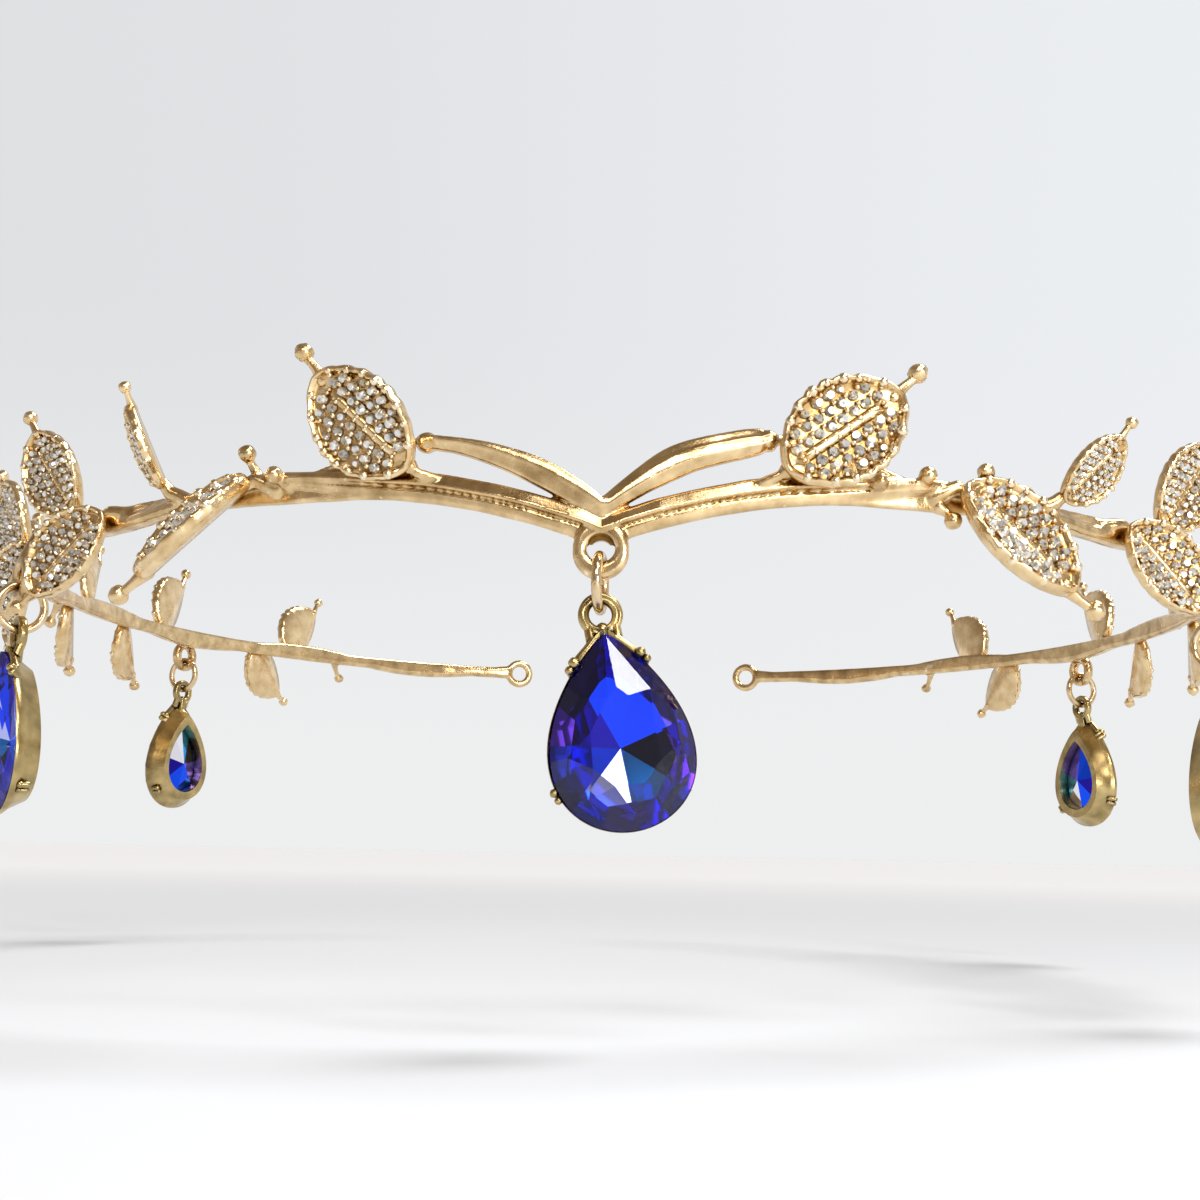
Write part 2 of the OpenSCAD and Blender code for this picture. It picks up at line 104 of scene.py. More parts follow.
def addShape(shape, other, place=None, mirrored=False):
    base = len(shape["points"])
    for p in other["points"]:
        q = place @ p if place else p.copy()
        shape["points"].append(Vector((-q.x, q.y, q.z)) if mirrored else q)
    shape["faces"] += [tuple(base + i for i in face) for face in other["faces"]]


def addLoft(shape, rings, loop=False, caps=True):
    base, sides, count = len(shape["points"]), len(rings[0]), len(rings)
    for ring in rings:
        shape["points"] += [Vector(p) for p in ring]
    for r in range(count if loop else count - 1):
        near, far = base + r * sides, base + (r + 1) % count * sides
        for k in range(sides):
            n = (k + 1) % sides
            shape["faces"].append((near + k, near + n, far + n, far + k))
    if caps and not loop:
        shape["faces"].append(tuple(base + k for k in range(sides)))
        shape["faces"].append(tuple(base + (count - 1) * sides + k for k in range(sides)))


tubeDome = ((0.98, 0.2), (0.75, 0.66), (0.42, 0.91))  # rings of a domed end: distance past it and radius, as shares


def addTube(shape, path, radii, sides=12):
    # Round tube with domed ends, its section carried along the path without twist
    path = [Vector(p) for p in path]
    rings, across, last = [], None, len(path) - 1
    for i, p in enumerate(path):
        ahead = (path[min(i + 1, last)] - path[max(i - 1, 0)]).normalized()
        if across is None:
            across = ahead.orthogonal().normalized()
        across = (across - ahead * across.dot(ahead)).normalized()
        up = ahead.cross(across)
        radius = radii[i] if isinstance(radii, (list, tuple)) else radii

        def ringAt(centre, r):
            return [centre + r * (across * cosD(360 * k / sides) + up * sinD(360 * k / sides)) for k in range(sides)]

        if i == 0:
            rings += [ringAt(p - ahead * radius * d, radius * r) for d, r in tubeDome]
        rings.append(ringAt(p, radius))
        if i == last:
            rings += [ringAt(p + ahead * radius * d, radius * r) for d, r in reversed(tubeDome)]
    addLoft(shape, rings)


def addBall(shape, centre, radius, sides=14, lumps=0.0, seed=0):
    rings, rows = [], sides // 2 + 1
    for i in range(rows + 1):
        tilt = 8 + 164 * i / rows
        ring = []
        for k in range(sides):
            p = Vector((sinD(tilt) * cosD(360 * k / sides), sinD(tilt) * sinD(360 * k / sides), cosD(tilt)))
            swell = 1 + lumps * noise.noise(p * 1.7 + Vector((seed, 2 * seed, 0)))
            ring.append(Vector(centre) + p * radius * swell)
        rings.append(ring)
    addLoft(shape, rings)


def addTorus(shape, place, radius, section, around=48):
    # A closed ring about the place's z axis; the section lists distances outwards and along z
    rings = []
    for i in range(around):
        t = 360 * i / around
        rings.append([place @ Vector(((radius + r) * cosD(t), (radius + r) * sinD(t), z)) for r, z in section])
    addLoft(shape, rings, loop=True)


def meshFrom(work, name):
    mesh = bpy.data.meshes.new(name)
    work.to_mesh(mesh)
    work.free()
    return mesh


def meshOf(name, shape):
    mesh = bpy.data.meshes.new(name)
    mesh.from_pydata([p * mm for p in shape["points"]], [], shape["faces"])
    work = bmesh.new()
    work.from_mesh(mesh)
    bmesh.ops.recalc_face_normals(work, faces=work.faces)
    work.to_mesh(mesh)
    work.free()
    return mesh


def makePiece(name, mesh, materials, creaseAngle=None):
    mesh.name = name
    piece = bpy.data.objects.new(name, mesh)
    scene.collection.objects.link(piece)
    # Clearing an empty list too would give every face the first material
    if mesh.materials:
        mesh.materials.clear()
    for material in materials:
        mesh.materials.append(material)
    if creaseAngle is not None:
        smoothShade(piece, creaseAngle)
    return piece


def smoothShade(piece, creaseAngle):
    piece.data.polygons.foreach_set("use_smooth", [True] * len(piece.data.polygons))
    piece.data.set_sharp_from_angle(angle=math.radians(creaseAngle))


def settle(piece, body, slot, *nodes):
    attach(piece, body)
    if nodes:
        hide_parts(*nodes)
    return piece


def evaluatedMesh(piece):
    # The modifiers' result as a plain mesh, with the modifiers gone
    tree = bpy.context.evaluated_depsgraph_get()
    mesh = bpy.data.meshes.new_from_object(piece.evaluated_get(tree), depsgraph=tree)
    piece.modifiers.clear()
    old, piece.data = piece.data, mesh
    bpy.data.meshes.remove(old)
    return mesh


# Node helpers
def setInputs(node, values):
    for name, value in values.items():
        node.inputs[name].default_value = value


def addNode(tree, kind, x, y, inputs=None, **settings):
    node = tree.nodes.new(kind)
    node.location = (x, y)
    for name, value in settings.items():
        setattr(node, name, value)
    setInputs(node, inputs or {})
    return node


def addRange(tree, x, y, reach, interpolation="SMOOTHSTEP"):
    # The reach is from, to and, where it isn't 0 to 1, the result at each
    values = dict(zip(("From Min", "From Max", "To Min", "To Max"), reach))
    return addNode(tree, "ShaderNodeMapRange", x, y, values, interpolation_type=interpolation)


def addMath(tree, x, y, operation, inputs=None):
    return addNode(tree, "ShaderNodeMath", x, y, inputs, operation=operation)


def addMix(tree, x, y, first=None, second=None):
    # Mixes two colours, which are its inputs 6 and 7
    colors = {socket: (*color, 1) for socket, color in ((6, first), (7, second)) if color}
    return addNode(tree, "ShaderNodeMix", x, y, colors, data_type="RGBA")


def addRamp(tree, x, y, stops):
    ramp = addNode(tree, "ShaderNodeValToRGB", x, y)
    elements = ramp.color_ramp.elements
    for index, (position, color) in enumerate(stops):
        stop = elements[index] if index < 2 else elements.new(position)
        stop.position, stop.color = position, (*color, 1)
    return ramp


def wire(tree, *links):
    # Each link is a node and its output, then a node and its input
    for source, output, target, socket in links:
        tree.links.new(source.outputs[output], target.inputs[socket])


def newMaterial(name, inputs):
    material = bpy.data.materials.new(name)
    material.use_nodes = True
    shader = material.node_tree.nodes["Principled BSDF"]
    setInputs(shader, inputs)
    return material, material.node_tree, shader


# Look of the metal: where shaded hollows (tarnish and painted shade), rubbed edges, clouds and the painted shade in
# creases begin and end; depths in millimetres
castLook = {
    "shadedHollows": (0.36, 0.48), "edges": (0.57, 0.75), "clouds": (0.3, 0.75, 0.35), "creaseShade": (0.78, 1.14),
    "creaseShadeGrain": 0.6, "creaseShadeReach": 1.2, "dents": 2.2, "relief": 0.05,
}


def castMetalGroup():
    # Colour, roughness and normal: soft cloudy tone, hollows darkened by tarnish and painted shade, painted shade in
    # creases, pale rubbed edges, grain and dents
    group = bpy.data.node_groups.new("castMetal", "ShaderNodeTree")
    for name, value in (
        ("Tone", (0.9, 0.7, 0.4, 1)), ("Tarnish And Shade", (0.4, 0.25, 0.1, 1)), ("Rubbed", (1, 0.85, 0.6, 1)), ("Edge", 0.5),
        ("Openness", 1), ("Cloud Size", 400), ("Grain Size", 2500), ("Grain", 0.2), ("Smoothness", 0.2),
        ("Unevenness", 0.1),
    ):
        kind = "NodeSocketColor" if isinstance(value, tuple) else "NodeSocketFloat"
        group.interface.new_socket(name, in_out="INPUT", socket_type=kind).default_value = value
    for name, kind in (("Color", "Color"), ("Roughness", "Float"), ("Normal", "Vector")):
        group.interface.new_socket(name, in_out="OUTPUT", socket_type="NodeSocket" + kind)
    given = addNode(group, "NodeGroupInput", -1100, 0)
    result = addNode(group, "NodeGroupOutput", 700, 0)
    place = addNode(group, "ShaderNodeTexCoord", -1100, -400)
    cloud = addNode(group, "ShaderNodeTexNoise", -800, 200, {"Detail": 4})
    grain = addNode(group, "ShaderNodeTexNoise", -800, -200, {"Detail": 6, "Roughness": 0.65})
    dents = addNode(group, "ShaderNodeTexNoise", -800, -500, {"Detail": 1})
    for texture, size in ((cloud, "Cloud Size"), (grain, "Grain Size"), (dents, "Cloud Size")):
        wire(group, (place, "Object", texture, "Vector"), (given, size, texture, "Scale"))
    shadedHollows = addRange(group, -500, 400, castLook["shadedHollows"], "LINEAR")
    edges = addRange(group, -500, 650, castLook["edges"], "LINEAR")
    cloudy = addRange(group, -500, 150, castLook["clouds"], "LINEAR")
    creaseShade = addRange(group, -500, 900, castLook["creaseShade"])
    broken = addMath(group, -650, 900, "MULTIPLY_ADD", {1: castLook["creaseShadeGrain"]})
    clear = addMath(group, -400, 500, "MULTIPLY")
    both = addMath(group, -300, 300, "MULTIPLY")
    # Hollows, creases and dark clouds take the tarnish and shade colour: painted shade in the creases, tarnish and
    # painted shade in the hollows
    toned = addMix(group, -50, 350)
    rubbed = addMix(group, 200, 350)
    rough = addMath(group, -50, 0, "MULTIPLY_ADD")
    heights = addMath(group, -300, -350, "MULTIPLY_ADD", {1: castLook["dents"]})
    relief = addNode(group, "ShaderNodeBump", 200, -300, {"Distance": castLook["relief"] * mm})
    wire(
        group, (given, "Edge", shadedHollows, "Value"), (given, "Edge", edges, "Value"), (cloud, "Fac", cloudy, "Value"),
        (grain, "Fac", broken, 0), (given, "Openness", broken, 2), (broken, 0, creaseShade, "Value"),
        (shadedHollows, "Result", clear, 0), (creaseShade, "Result", clear, 1), (clear, 0, both, 0), (cloudy, "Result", both, 1),
        (both, 0, toned, "Factor"), (given, "Tarnish And Shade", toned, 6), (given, "Tone", toned, 7),
        (edges, "Result", rubbed, "Factor"), (toned, 2, rubbed, 6), (given, "Rubbed", rubbed, 7),
        (rubbed, 2, result, "Color"), (grain, "Fac", rough, 0), (given, "Unevenness", rough, 1),
        (given, "Smoothness", rough, 2), (rough, 0, result, "Roughness"), (dents, "Fac", heights, 0),
        (grain, "Fac", heights, 2), (given, "Grain", relief, "Strength"), (heights, 0, relief, "Height"),
        (relief, "Normal", result, "Normal"),
    )
    return group


castMetal = castMetalGroup()


def metalMaterial(name, values):
    material, tree, shader = newMaterial(name, {"Metallic": 1})
    metal = addNode(tree, "ShaderNodeGroup", -300, 200, node_tree=castMetal)
    setInputs(metal, values)
    geometry = addNode(tree, "ShaderNodeNewGeometry", -600, 200)
    # Ambient occlusion darkens the creases: painted shade
    around = addNode(tree, "ShaderNodeAmbientOcclusion", -600, -100, samples=6)
    setInputs(around, {"Distance": castLook["creaseShadeReach"] * mm})
    wire(
        tree, (geometry, "Pointiness", metal, "Edge"), (around, "AO", metal, "Openness"),
        (metal, "Color", shader, "Base Color"), (metal, "Roughness", shader, "Roughness"),
        (metal, "Normal", shader, "Normal"),
    )
    return material


paleGold = metalMaterial("paleGold", {
    "Tone": (0.97, 0.73, 0.41, 1), "Tarnish And Shade": (0.26, 0.14, 0.03, 1), "Rubbed": (1.0, 0.89, 0.68, 1),
    "Cloud Size": 500, "Grain Size": 3200, "Grain": 0.35, "Smoothness": 0.08, "Unevenness": 0.16,
})
# A lighter copy of the gold for the leaves, a painted highlight
litLeafGold = metalMaterial("litLeafGold", {
    "Tone": (1.0, 0.79, 0.48, 1), "Tarnish And Shade": (0.52, 0.31, 0.10, 1), "Rubbed": (1.0, 0.92, 0.74, 1),
    "Cloud Size": 500, "Grain Size": 3200, "Grain": 0.4, "Smoothness": 0.08, "Unevenness": 0.18,
})
# A still lighter copy of the gold for the beads and grains, a painted highlight
litBeadGold = metalMaterial("litBeadGold", {
    "Tone": (1.0, 0.86, 0.60, 1), "Tarnish And Shade": (0.66, 0.45, 0.20, 1), "Rubbed": (1.0, 0.92, 0.74, 1),
    "Cloud Size": 700, "Grain Size": 3200, "Grain": 0.3, "Smoothness": 0.06, "Unevenness": 0.1,
})
wireGold = metalMaterial("wireGold", {
    "Tone": (0.93, 0.74, 0.48, 1), "Tarnish And Shade": (0.45, 0.30, 0.12, 1), "Rubbed": (1.0, 0.88, 0.68, 1),
    "Cloud Size": 300, "Grain Size": 2600, "Grain": 0.15, "Smoothness": 0.06, "Unevenness": 0.1,
})
antiqueGold = metalMaterial("antiqueGold", {
    "Tone": (0.68, 0.51, 0.23, 1), "Tarnish And Shade": (0.08, 0.06, 0.018, 1), "Rubbed": (0.98, 0.86, 0.60, 1),
    "Cloud Size": 420, "Grain Size": 4200, "Grain": 0.22, "Smoothness": 0.12, "Unevenness": 0.18,
})

# Stones: patches and tones of the clear ones, grey with painted glints and dark reflections; colour of the blue glass
# and tones of the facets behind it, blue with painted reflections
stoneLook = {
    "glintPatches": 1900, "glass": (0.55, 0.60, 1.0, 1), "glassIor": 1.52, "glow": 0.04,
    "greyAndGlintTones": ((0.0, (0.06, 0.055, 0.04)), (0.38, (0.66, 0.64, 0.57)), (1.0, (0.97, 0.97, 0.98))),
    "backBlueAndReflections": (
        (0.0, (0.003, 0.004, 0.04)), (0.2, (0.02, 0.012, 0.34)), (0.45, (0.01, 0.09, 1.0)), (0.6, (0.36, 0.10, 1.0)),
        (0.72, (0.34, 0.27, 0.66)), (0.86, (0.02, 0.32, 0.75)), (1.0, (0.9, 0.9, 1.0)),
    ),
}


def clearStoneMaterial():
    material, tree, shader = newMaterial("clearStone", {
        "Metallic": 0.7, "Roughness": 0.08, "IOR": 1.9, "Coat Weight": 1, "Coat Roughness": 0.02, "Coat IOR": 1.8,
    })
    place = addNode(tree, "ShaderNodeTexCoord", -800, 0)
    # The patches run from near black to white: painted glints and reflections over the stones' grey
    glintPatches = addNode(tree, "ShaderNodeTexVoronoi", -600, 0, {"Scale": stoneLook["glintPatches"]})
    ramp = addRamp(tree, -350, 0, stoneLook["greyAndGlintTones"])
    wire(
        tree, (place, "Object", glintPatches, "Vector"), (glintPatches, "Distance", ramp, "Fac"),
        (ramp, "Color", shader, "Base Color"),
    )
    return material


def blueStoneMaterials():
    crown = newMaterial("blueStoneCrown", {
        "Base Color": stoneLook["glass"], "Transmission Weight": 1, "Roughness": 0.0, "IOR": stoneLook["glassIor"],
    })[0]
    # A little glow stands for the light that wanders inside the glass
    back, tree, shader = newMaterial("blueStoneBack", {
        "Emission Strength": stoneLook["glow"], "Metallic": 1, "Roughness": 0.07,
    })
    # Each facet's tone picks a colour: the stone's blue with painted reflections, dark and white
    paintedLightTone = addNode(tree, "ShaderNodeAttribute", -700, 0, attribute_name="facetReflectionTone")
    ramp = addRamp(tree, -450, 0, stoneLook["backBlueAndReflections"])
    wire(
        tree, (paintedLightTone, "Fac", ramp, "Fac"), (ramp, "Color", shader, "Base Color"),
        (ramp, "Color", shader, "Emission Color"),
    )
    return crown, back


clearStone = clearStoneMaterial()
blueCrown, blueBack = blueStoneMaterials()
print("materials ready")


# The cast frame: lower bar and vine strip, split upper bars, stems, hanging eyes and end loops
frameSizes = {
    "barHeight": 3.0, "stripDepth": 1.5, "slimBy": 0.3, "slimReach": (18, 30), "ribReach": 0.75, "ribHalf": 0.75,
    "ribTop": 0.7, "ribBlunt": 0.7, "frontInset": 0.15, "windReach": (14, 24), "waveHeight": 1.05, "waveTurns": 10,
    "step": 0.75, "handmade": 0.09, "handmadeSize": 0.35, "endLoop": 2.06, "endLoopWire": 0.71, "endLoopOn": 1.6,
}
# The front is cast finer than the back; the two meet under the stem of a leaf
frameParts = {
    "castFront": {"from": 0, "to": 33.6, "voxel": 0.16},
    "castBack": {"from": 33.2, "to": 180, "voxel": 0.3},
}
upperSizes = {
    "height": 1.9, "rightEnd": 11, "leftEnd": 12, "strandEnd": 25, "strandStep": 0.5, "strandUp": 0.6, "knob": 1.05,
    "start": -1.83, "rise": 0.95, "bend": 0.0335, "skew": 0.05, "rightLift": (0.5, 4.6, 3.2), "leftLift": 0.045,
    "rightSwell": (0.85, 4.5, 3.5), "leftSwell": (0.6, 3.2, 3.5), "endSwell": (0.45, 9.3, 2), "leftThin": 0.25,
    "leftThinReach": (7, 11), "forward": 0.13, "facet": 0.55, "facetLean": 0.18, "facetRight": -0.25,
    "facetLeft": 0.3,
}


# Section of the lower bar beside the centre, out and up: flat lower face, small step, ridge, sloping upper face
ridgeTop = 1.5
ridgeSection = (
    (-0.75, -1.05), (-0.55, -1.38), (0.0, -ridgeTop), (0.36, -1.46), (0.52, -1.2), (0.64, -0.72), (0.72, -0.42),
    (0.46, -0.32), (0.5, -0.12), (1.18, 0.02), (1.26, 0.2), (1.11, 0.54), (0.96, 0.88), (0.82, 1.2), (0.56, 1.44),
    (0.1, ridgeTop), (-0.6, 1.38), (-0.75, 1.1),
)


def bandSection(angle):
    # The ridge turns into a strand that winds up and down over the strip
    s, a = frameSizes, abs(angle)
    tall = s["barHeight"] / 2 * (1 - s["slimBy"] * ease(a, *s["slimReach"]))
    wind = ease(a, *s["windReach"])
    ribAt = s["ribTop"] * (1 - wind) + wind * s["waveHeight"] * sinD(s["waveTurns"] * (a - s["windReach"][0]))
    reach, rib = s["ribReach"] - 0.1 * wind, s["ribHalf"]
    low, high = min(-tall, ribAt - rib * wind), max(tall, ribAt + rib * wind)
    back, front = -s["stripDepth"] / 2, s["stripDepth"] / 2 - s["frontInset"]
    strand = [(back, low + 0.45), (back + 0.2, low + 0.12), (front - 0.4, low), (front - 0.12, low + 0.1)]
    for t in range(-90, 91, 20):
        out = front - 0.08 + (reach + 0.08) * max(0, cosD(t)) ** s["ribBlunt"]
        strand.append((out, ribAt + rib * sinD(t)))
    strand += [(front - 0.35, high), (-0.25, high), (back + 0.2, high - 0.14), (back, high - 0.4)]
    ridge = [(out, up * tall / ridgeTop) for out, up in ridgeSection]
    return [(a0 + (b0 - a0) * wind, a1 + (b1 - a1) * wind) for (a0, a1), (b0, b1) in zip(ridge, strand)]


def ringOf(angle, section, z):
    ring = []
    for out, up in section:
        p = onBand(angle, out, z + up)
        wobble = frameSizes["handmade"] * noise.noise(p * frameSizes["handmadeSize"])
        ring.append(onBand(angle, out + wobble, z + up + 0.6 * wobble))
    return ring


def anglesBetween(start, end, step):
    count = max(1, round(abs(end - start) / step))
    return [start + (end - start) * i / count for i in range(count + 1)]


def upperHeight(angle):
    u, a = upperSizes, abs(angle)
    joined = ease(a, u["leftEnd"], u["strandEnd"])
    arch = u["start"] + u["rise"] * a - u["bend"] * a * a + u["skew"] * angle
    arch += hump(a, *u["rightLift"]) if angle > 0 else u["leftLift"] * a
    return arch * (1 - joined) + (bandHeight(angle) + u["strandUp"]) * joined


def upperSection(angle):
    # The front has a narrow facet that catches the light: in the middle on the right, near the top on the left
    u, a = upperSizes, abs(angle)
    swell = hump(a, *u["rightSwell"]) + hump(a, *u["endSwell"])
    if angle < 0:
        swell = hump(a, *u["leftSwell"]) - u["leftThin"] * ease(a, *u["leftThinReach"])
    low, end = (u["facetRight"], u["rightEnd"]) if angle > 0 else (u["facetLeft"], u["leftEnd"])
    h = u["height"] / 2 * (1 + swell)
    slim = 1 - 0.5 * ease(a, end - 0.6, end + 0.8)
    high, lean = low + u["facet"], u["facetLean"] * u["facet"] * h
    outline = (
        (-0.7, -0.6), (-0.3, -0.9), (0.2, -1.0), (0.72, -0.88), (1.1, low - 0.16), (1.19, low - 0.06), (1.2, low),
        (1.2 - lean, high), (1.08 - lean, high + 0.05), (0.5, 0.9), (0.2, 1.0), (-0.3, 0.95), (-0.75, 0.55),
    )
    return [(out * slim + u["forward"], up * h * slim) for out, up in outline]


# Leaves: side 1 right, -1 left, 0 one on each side; angle round the ring; up over the band; rise of the midrib;
# lift of the tip; twist about the midrib; share of full size; distance in front of the band
leafRows = tableOf("side angle up rise lift twist size out", (
    (1, 11.8, 1.5, 36, 4, -6, 1.06, 2.1), (-1, 12.6, 1.25, 44, 6, 18, 1.02, 2.2),
    (1, 24.8, 1.4, -47, 16, -18, 1.12, 2.0), (-1, 25.2, 1.4, -48, 20, -42, 1.10, 2.0),
    (1, 33.5, 1.4, 50, 22, 20, 0.70, 2.0), (-1, 33.5, 1.4, 82, 26, 34, 0.70, 2.0),
    (0, 41.0, 0.4, -52, 20, 10, 0.92, 2.0), (0, 45.5, 1.2, 56, 16, -8, 0.90, 2.0),
    (0, 58.0, 0.2, -46, 14, 10, 0.95, 2.0), (0, 62.0, 1.0, 46, 14, -10, 0.95, 2.0),
    (0, 72.5, 0.2, -44, 12, 12, 1.00, 2.0), (0, 78.0, 1.0, 44, 12, -10, 0.95, 2.0),
    (0, 88.0, 0.2, -42, 12, 12, 0.95, 1.9), (0, 93.0, 1.0, 46, 12, -8, 0.90, 1.9),
    (0, 101.0, 0.2, -46, 12, 10, 0.90, 2.0), (0, 108.0, 1.0, 44, 10, -8, 0.95, 2.0),
    (0, 124.0, 0.2, -42, 10, 8, 0.90, 2.0), (0, 129.0, 1.0, 44, 10, -8, 0.90, 2.0),
))
leafSizes = {
    "length": 13, "halfWidth": 4.7, "thick": 0.9, "backDome": 0.15, "rim": 0.55, "rimWidth": 0.7, "fold": 0.2,
    "ribHalf": 0.4, "ribStart": 1.2, "ribCrest": 0.495, "columns": 40, "lobes": 8, "lobeReach": 0.035,
    "rimWave": 0.14, "floorWave": 0.06,
}
# Stems and twigs; the front pair of leaves, up to slimTo, has slimmer stems that start higher and end in a ball
stemSizes = {
    "radius": 0.83, "shares": (1, 1, 0.92, 0.8, 0.55), "run": 1.8, "root": (0.3, 0), "slimTo": 20, "slimShare": 0.62,
    "slimRoot": (0.5, 0.7), "ball": 0.8, "under": 1.2, "twig": 2.6, "twigTurn": 12, "twigBall": 0.9, "twigOut": 0.5,
    "twigBend": 0.12, "twigRadii": ((0, 0.75), (0.3, 0.6), (0.6, 0.475), (0.85, 0.425), (1, 0.45)),
}
# Bare twigs, with the leaves' columns and a length
twigRows = tableOf("side angle up rise lift length", (
    (1, 17.6, 0.6, 0, 45, 1.0), (-1, 25.0, 1.2, 80, 30, 2.2), (1, 21.5, 0.8, 50, 40, 1.0),
    (-1, 22.4, 0.4, 40, 40, 1.0), (1, 26.5, 1.0, 80, 30, 1.6), (1, 23.5, -0.8, -60, 30, 1.2),
    (0, 68.6, 0.25, 58, 24, 3.4), (0, 83.0, -0.4, -60, 24, 3.4), (0, 136.0, -0.4, -50, 20, 3.4),
))


def sidesOf(side):
    return (1, -1) if side == 0 else (side,)


def turned(angle, axis):
    return Matrix.Rotation(math.radians(angle), 4, axis)


def stemFrame(row, out):
    place = faceFrame(row["angle"], out, bandHeight(row["angle"]) + row["up"])
    return place @ turned(row["rise"], "Z") @ turned(-row["lift"], "Y")


def leafFrame(row):
    return stemFrame(row, row["out"]) @ turned(row["twist"], "X") @ Matrix.Scale(row["size"], 4)


dropSizes = {
    "eye": 1.95, "eyeTube": 0.65, "eyeBlunt": 0.75, "eyeBroad": 1.15, "lip": 0.4, "arm": 0.855, "elbow": 0.75,
    "elbowDown": 0.8, "wire": 0.475, "ring": 2.525, "gap": 0.12, "loop": 1.55, "loopTube": 0.5, "tipDown": 2.05,
    "stoneOut": 1.25, "drillLength": 8, "drillOut": 3.5, "drillStep": 0.25,
}
# Drops: distance of the eye in front of the band, height of the eye's hole, tilt, turn, turn of the link
drops = tableOf("name angle out height tilt turn linkTurn", (
    ("front", 0, 0.3, -5.55, 9.5, 8, -6), ("right", 50, 5.0, -6.7, 0, 0, 0), ("left", -50, 5.0, -4.5, 0, 0, 0),
    ("back_right", 115, 4.5, -1.6, 0, 0, 0), ("back_left", -115, 4.5, -1.6, 0, 0, 0),
))
ringDown = dropSizes["eye"] - dropSizes["eyeTube"] - dropSizes["gap"] + dropSizes["ring"] - dropSizes["wire"]
wireDown = ringDown + dropSizes["ring"]
loopDown = wireDown - dropSizes["wire"] + dropSizes["loop"] - dropSizes["loopTube"] - dropSizes["gap"]


def eyeFrame(drop):
    return faceFrame(drop["angle"], drop["out"], drop["height"])


def loopFrame(drop):
    place = eyeFrame(drop) @ Matrix.Translation((0, -wireDown, 0)) @ turned(drop["tilt"], "Z")
    return place @ turned(drop["turn"], "Y") @ Matrix.Translation((0, wireDown - loopDown, 0))


def roundSection(wire, sides=14, power=1.0, flat=1.0):
    # Distances outwards and sideways; a power under 1 makes the ring's section squarer
    def bent(x):
        return math.copysign(abs(x) ** power, x)
    return [(wire * bent(cosD(360 * k / sides)), flat * wire * bent(sinD(360 * k / sides))) for k in range(sides)]


def addStem(shape, row, side):
    # From the band to the underside of the leaf's base
    s, stem = stemSizes, newShape()
    slim = row["angle"] < s["slimTo"]
    root = row["angle"] - s["run"]
    out, up = s["slimRoot"] if slim else s["root"]
    start = onBand(root, out, bandHeight(root) + up)
    middle = onBand(row["angle"] - 0.3, row["out"] - 0.6, bandHeight(row["angle"]) + row["up"] * 0.8)
    tip = leafFrame(row) @ Vector((s["under"], 0, -leafSizes["thick"] / 2))
    path = [start, start.lerp(middle, 0.55), middle, middle.lerp(tip, 0.5), tip]
    radius = s["radius"] * (s["slimShare"] if slim else 1)
    addTube(stem, path, [radius * share for share in s["shares"]], 12)
    if slim:
        addBall(stem, path[3], s["ball"], 14, 0.1, row["angle"])
    addShape(shape, stem, mirrored=side < 0)


def addTwig(shape, place, length, seed, mirrored=False):
    s, twig = stemSizes, newShape()
    path = [(length * t, s["twigBend"] * math.sin(3 * t + seed), 0) for t, radius in s["twigRadii"]]
    addTube(twig, path, [radius for t, radius in s["twigRadii"]], 12)
    addBall(twig, (length + 0.8 * s["twigBall"], 0, 0), s["twigBall"], 14, 0.14, seed)
    addShape(shape, twig, place, mirrored)


def addEye(shape, drop):
    # A squarish ring on a bent arm; the front one sits under the band itself, with a thicker lower lip
    s, place = dropSizes, eyeFrame(drop)
    section = roundSection(s["eyeTube"], 20, s["eyeBlunt"], s["eyeBroad"])
    addTorus(shape, place, s["eye"], section, 48)
    if drop["angle"] == 0:
        addTorus(shape, place @ Matrix.Translation((0, -s["lip"], 0)), s["eye"], section, 48)
        return
    height = bandHeight(drop["angle"])
    start = onBand(drop["angle"], 0, height)
    top = onBand(drop["angle"], drop["out"] * s["elbow"], height - s["elbowDown"])
    end = onBand(drop["angle"], drop["out"], drop["height"] + s["eye"])
    addTube(shape, [start, start.lerp(top, 0.5), top, top.lerp(end, 0.6), end], s["arm"], 14)


def addUpperBars(shape):
    u = upperSizes
    angles = anglesBetween(-u["strandEnd"], u["strandEnd"], u["strandStep"])
    addLoft(shape, [ringOf(a, upperSection(a), upperHeight(a)) for a in angles])
    for side, end in ((1, u["rightEnd"]), (-1, -u["leftEnd"])):
        addBall(shape, onBand(end, 0.3, upperHeight(end)), u["knob"], 16, 0.1, side)


def addEndLoops(shape):
    s, end = frameSizes, ringForm["endAngle"]
    for side in (1, -1):
        place = faceFrame(side * (end + s["endLoopOn"]), 0, bandHeight(end))
        addTorus(shape, place, s["endLoop"], roundSection(s["endLoopWire"], 12), 40)


